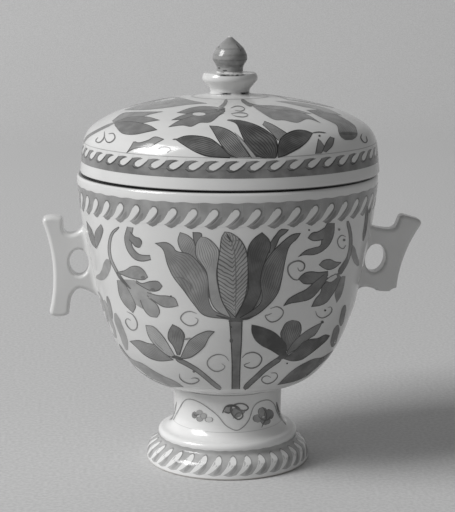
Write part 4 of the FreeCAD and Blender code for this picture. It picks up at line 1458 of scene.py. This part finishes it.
def paint_material():
    """Pigment under the same glaze: uneven washes, brush lines and dark outlines.

    Pigment of density d lets back ink**d of what the white would. The brush lines
    follow |fract(phase) - 1/2|. On a petal the phase grows across it, and with a
    midrib it grows along it and away from the midrib.
    """
    done = bpy.data.materials.get("underglaze_painting")
    if done:
        return done
    look = bpy.context.scene.glaze_look
    sketch = NodeSketch("underglaze_painting")
    gloss(sketch, look.roughness)
    stroke = sketch.add("ShaderNodeAttribute", attribute_name="look").outputs
    ink, lines, edge = sketch.add("ShaderNodeSeparateColor", {0: stroke["Color"]}).outputs
    vee = stroke["Alpha"]
    flat = sketch.add("ShaderNodeUVMap", uv_map="stroke").outputs[0]
    across, along, _ = sketch.add("ShaderNodeSeparateXYZ", {0: flat}).outputs
    aside = sketch.math("ABSOLUTE", sketch.math("SUBTRACT", across, 0.5), 0)
    plain = sketch.math("ADD", sketch.math("MULTIPLY", across, LINES_ACROSS),
                        sketch.math("MULTIPLY", along, LINES_DRIFT))
    ribbed = sketch.math("ADD", sketch.math("MULTIPLY", along, RIBS_ALONG),
                         sketch.math("MULTIPLY", aside, RIBS_ASIDE))
    phase = sketch.math("ADD", plain,
                        sketch.math("MULTIPLY", vee, sketch.math("SUBTRACT", ribbed, plain)))
    phase = sketch.math("ADD", phase, sketch.math("MULTIPLY", sketch.noise(260.0, 2.0), 1.0))
    wave = sketch.math("ABSOLUTE", sketch.math("SUBTRACT", sketch.math("FRACT", phase, 0), 0.5), 0)
    brush = sketch.math("MULTIPLY", sketch.band(wave, *LINE_SHOULDERS), lines)
    rims = sketch.add("ShaderNodeUVMap", uv_map="rim").outputs[0]
    inward = sketch.add("ShaderNodeSeparateXYZ", {0: rims}).outputs["X"]
    rim = sketch.math("MULTIPLY", sketch.band(inward, *RIM_FADE, 1, 0), edge)
    blot = sketch.band(sketch.noise(170.0, 3.0), 0.3, 0.7, *BLOTS)
    density = sketch.math("MULTIPLY", ink, blot)
    density = sketch.math("ADD", density, sketch.math("MULTIPLY", brush, LINE_DENSITY))
    density = sketch.math("ADD", density, sketch.math("MULTIPLY", rim, RIM_DENSITY))
    kept = sketch.math("POWER", look.ink, density)
    sketch.link(sketch.mix(kept, (0, 0, 0, 1), clouded_white(sketch)), "Base Color")
    return sketch.material


class MakeStudio(bpy.types.Operator):
    """Seamless paper, lamps, surroundings and camera"""

    bl_idname = "covered_cup.studio"
    bl_label = "Make the studio"

    AIM = (0, 0, 80 * MM)
    KEY_AT, KEY_SIZE = (-2.47, -0.78, 1.96), (1.5, 1.8)
    BACK_AT, BACK_SIZE, BACK_AIM = (0.2, 0.75, 1.1), (1.4, 0.4), (0.1, 1.9, 0.25)

    def execute(self, context):
        studio = context.scene.studio
        scene = context.scene
        self.paper(studio)
        self.lamp("key", self.KEY_AT, self.KEY_SIZE, self.AIM, studio.key_power)
        self.lamp("back", self.BACK_AT, self.BACK_SIZE, self.BACK_AIM, studio.back_power)
        world = bpy.data.worlds.new("studio")
        world.use_nodes = True
        world.node_tree.nodes["Background"].inputs["Color"].default_value = (1, 1, 1, 1)
        world.node_tree.nodes["Background"].inputs["Strength"].default_value = studio.world
        scene.world = world
        data = bpy.data.cameras.new("camera")
        data.sensor_fit = "AUTO"
        data.sensor_width = SENSOR
        data.lens = FOCAL_PIXELS * SENSOR / PICTURE_HEIGHT
        data.clip_end = 20
        camera = bpy.data.objects.new("camera", data)
        forward, right, up = picture_axes()
        turn = Matrix((right, up, -forward)).transposed().to_4x4()
        camera.matrix_world = Matrix.Translation(CAMERA_AT) @ turn
        scene.collection.objects.link(camera)
        scene.camera = camera
        scene.view_settings.view_transform = "Standard"
        return {"FINISHED"}

    def paper(self, studio):
        """Floor that sweeps up into a wall: a line, a quarter circle and a line."""
        sweep = Outline((-1.6, 0)).line(1.0, 0).turn(1, 0).arc(1.7, 0.7).line(1.7, 2.6)
        line = sweep.array()
        keep = np.r_[0:len(line):60, len(line) - 1]
        line = line[keep]
        across = np.linspace(-2.4, 2.4, 3)
        grid = np.stack(np.broadcast_arrays(
            across[:, None], line[None, :, 0], line[None, :, 1]
        ), -1)
        count = len(line)
        k = np.arange(len(across) - 1)[:, None] * count
        j = np.arange(count - 1)
        faces = np.stack([k + j, k + count + j, k + count + j + 1, k + j + 1], -1)
        mesh = bpy.data.meshes.new("paper")
        mesh.from_pydata(grid.reshape(-1, 3).tolist(), [], faces.reshape(-1, 4).tolist())
        mesh.polygons.foreach_set("use_smooth", np.ones(len(mesh.polygons), bool))
        paper = bpy.data.objects.new("paper", mesh)
        bpy.context.scene.collection.objects.link(paper)
        sketch = NodeSketch("seamless_paper")
        grain = sketch.band(sketch.noise(700.0, 2.0), 0.3, 0.7)
        dark = tuple(0.86 * c for c in studio.floor)
        sketch.link(sketch.mix(grain, (*studio.floor, 1), (*dark, 1)), "Base Color")
        sketch.surface.inputs["Roughness"].default_value = 0.85
        paper.data.materials.append(sketch.material)

    def lamp(self, name, at, size, target, power):
        data = bpy.data.lights.new(name, "AREA")
        data.shape = "RECTANGLE"
        data.size, data.size_y = size
        data.energy = power
        lamp = bpy.data.objects.new(name, data)
        lamp.location = at
        aim = Vector(target) - Vector(at)
        lamp.rotation_euler = aim.to_track_quat("-Z", "Y").to_euler()
        bpy.context.scene.collection.objects.link(lamp)


OPERATORS = (MakeStudio, MakeCup, MakeHandles, MakeCover, PaintCup, PaintCover)
GROUPS = {
    "cup_sizes": CupSizes,
    "cover_sizes": CoverSizes,
    "glaze_look": GlazeLook,
    "studio": Studio,
}


class CoveredCupPanel(bpy.types.Panel):
    """Lists the pieces of the covered cup."""

    bl_idname = "VIEW3D_PT_covered_cup"
    bl_label = "Covered cup"
    bl_space_type = "VIEW_3D"
    bl_region_type = "UI"
    bl_category = "Covered cup"

    def draw(self, context):
        for operator in OPERATORS:
            self.layout.operator(operator.bl_idname)
        for name, group in GROUPS.items():
            settings = getattr(context.scene, name)
            for key in group.__annotations__:
                self.layout.prop(settings, key)


def register():
    for kind in (*GROUPS.values(), *OPERATORS, CoveredCupPanel):
        bpy.utils.register_class(kind)
    for name, group in GROUPS.items():
        setattr(bpy.types.Scene, name, PointerProperty(type=group))


def unregister():
    for name in GROUPS:
        delattr(bpy.types.Scene, name)
    for kind in (CoveredCupPanel, *reversed(OPERATORS), *reversed(GROUPS.values())):
        bpy.utils.unregister_class(kind)


def main():
    register()
    for operator in OPERATORS:
        area, name = operator.bl_idname.split(".")
        getattr(getattr(bpy.ops, area), name)()


if __name__ == "__main__":
    main()
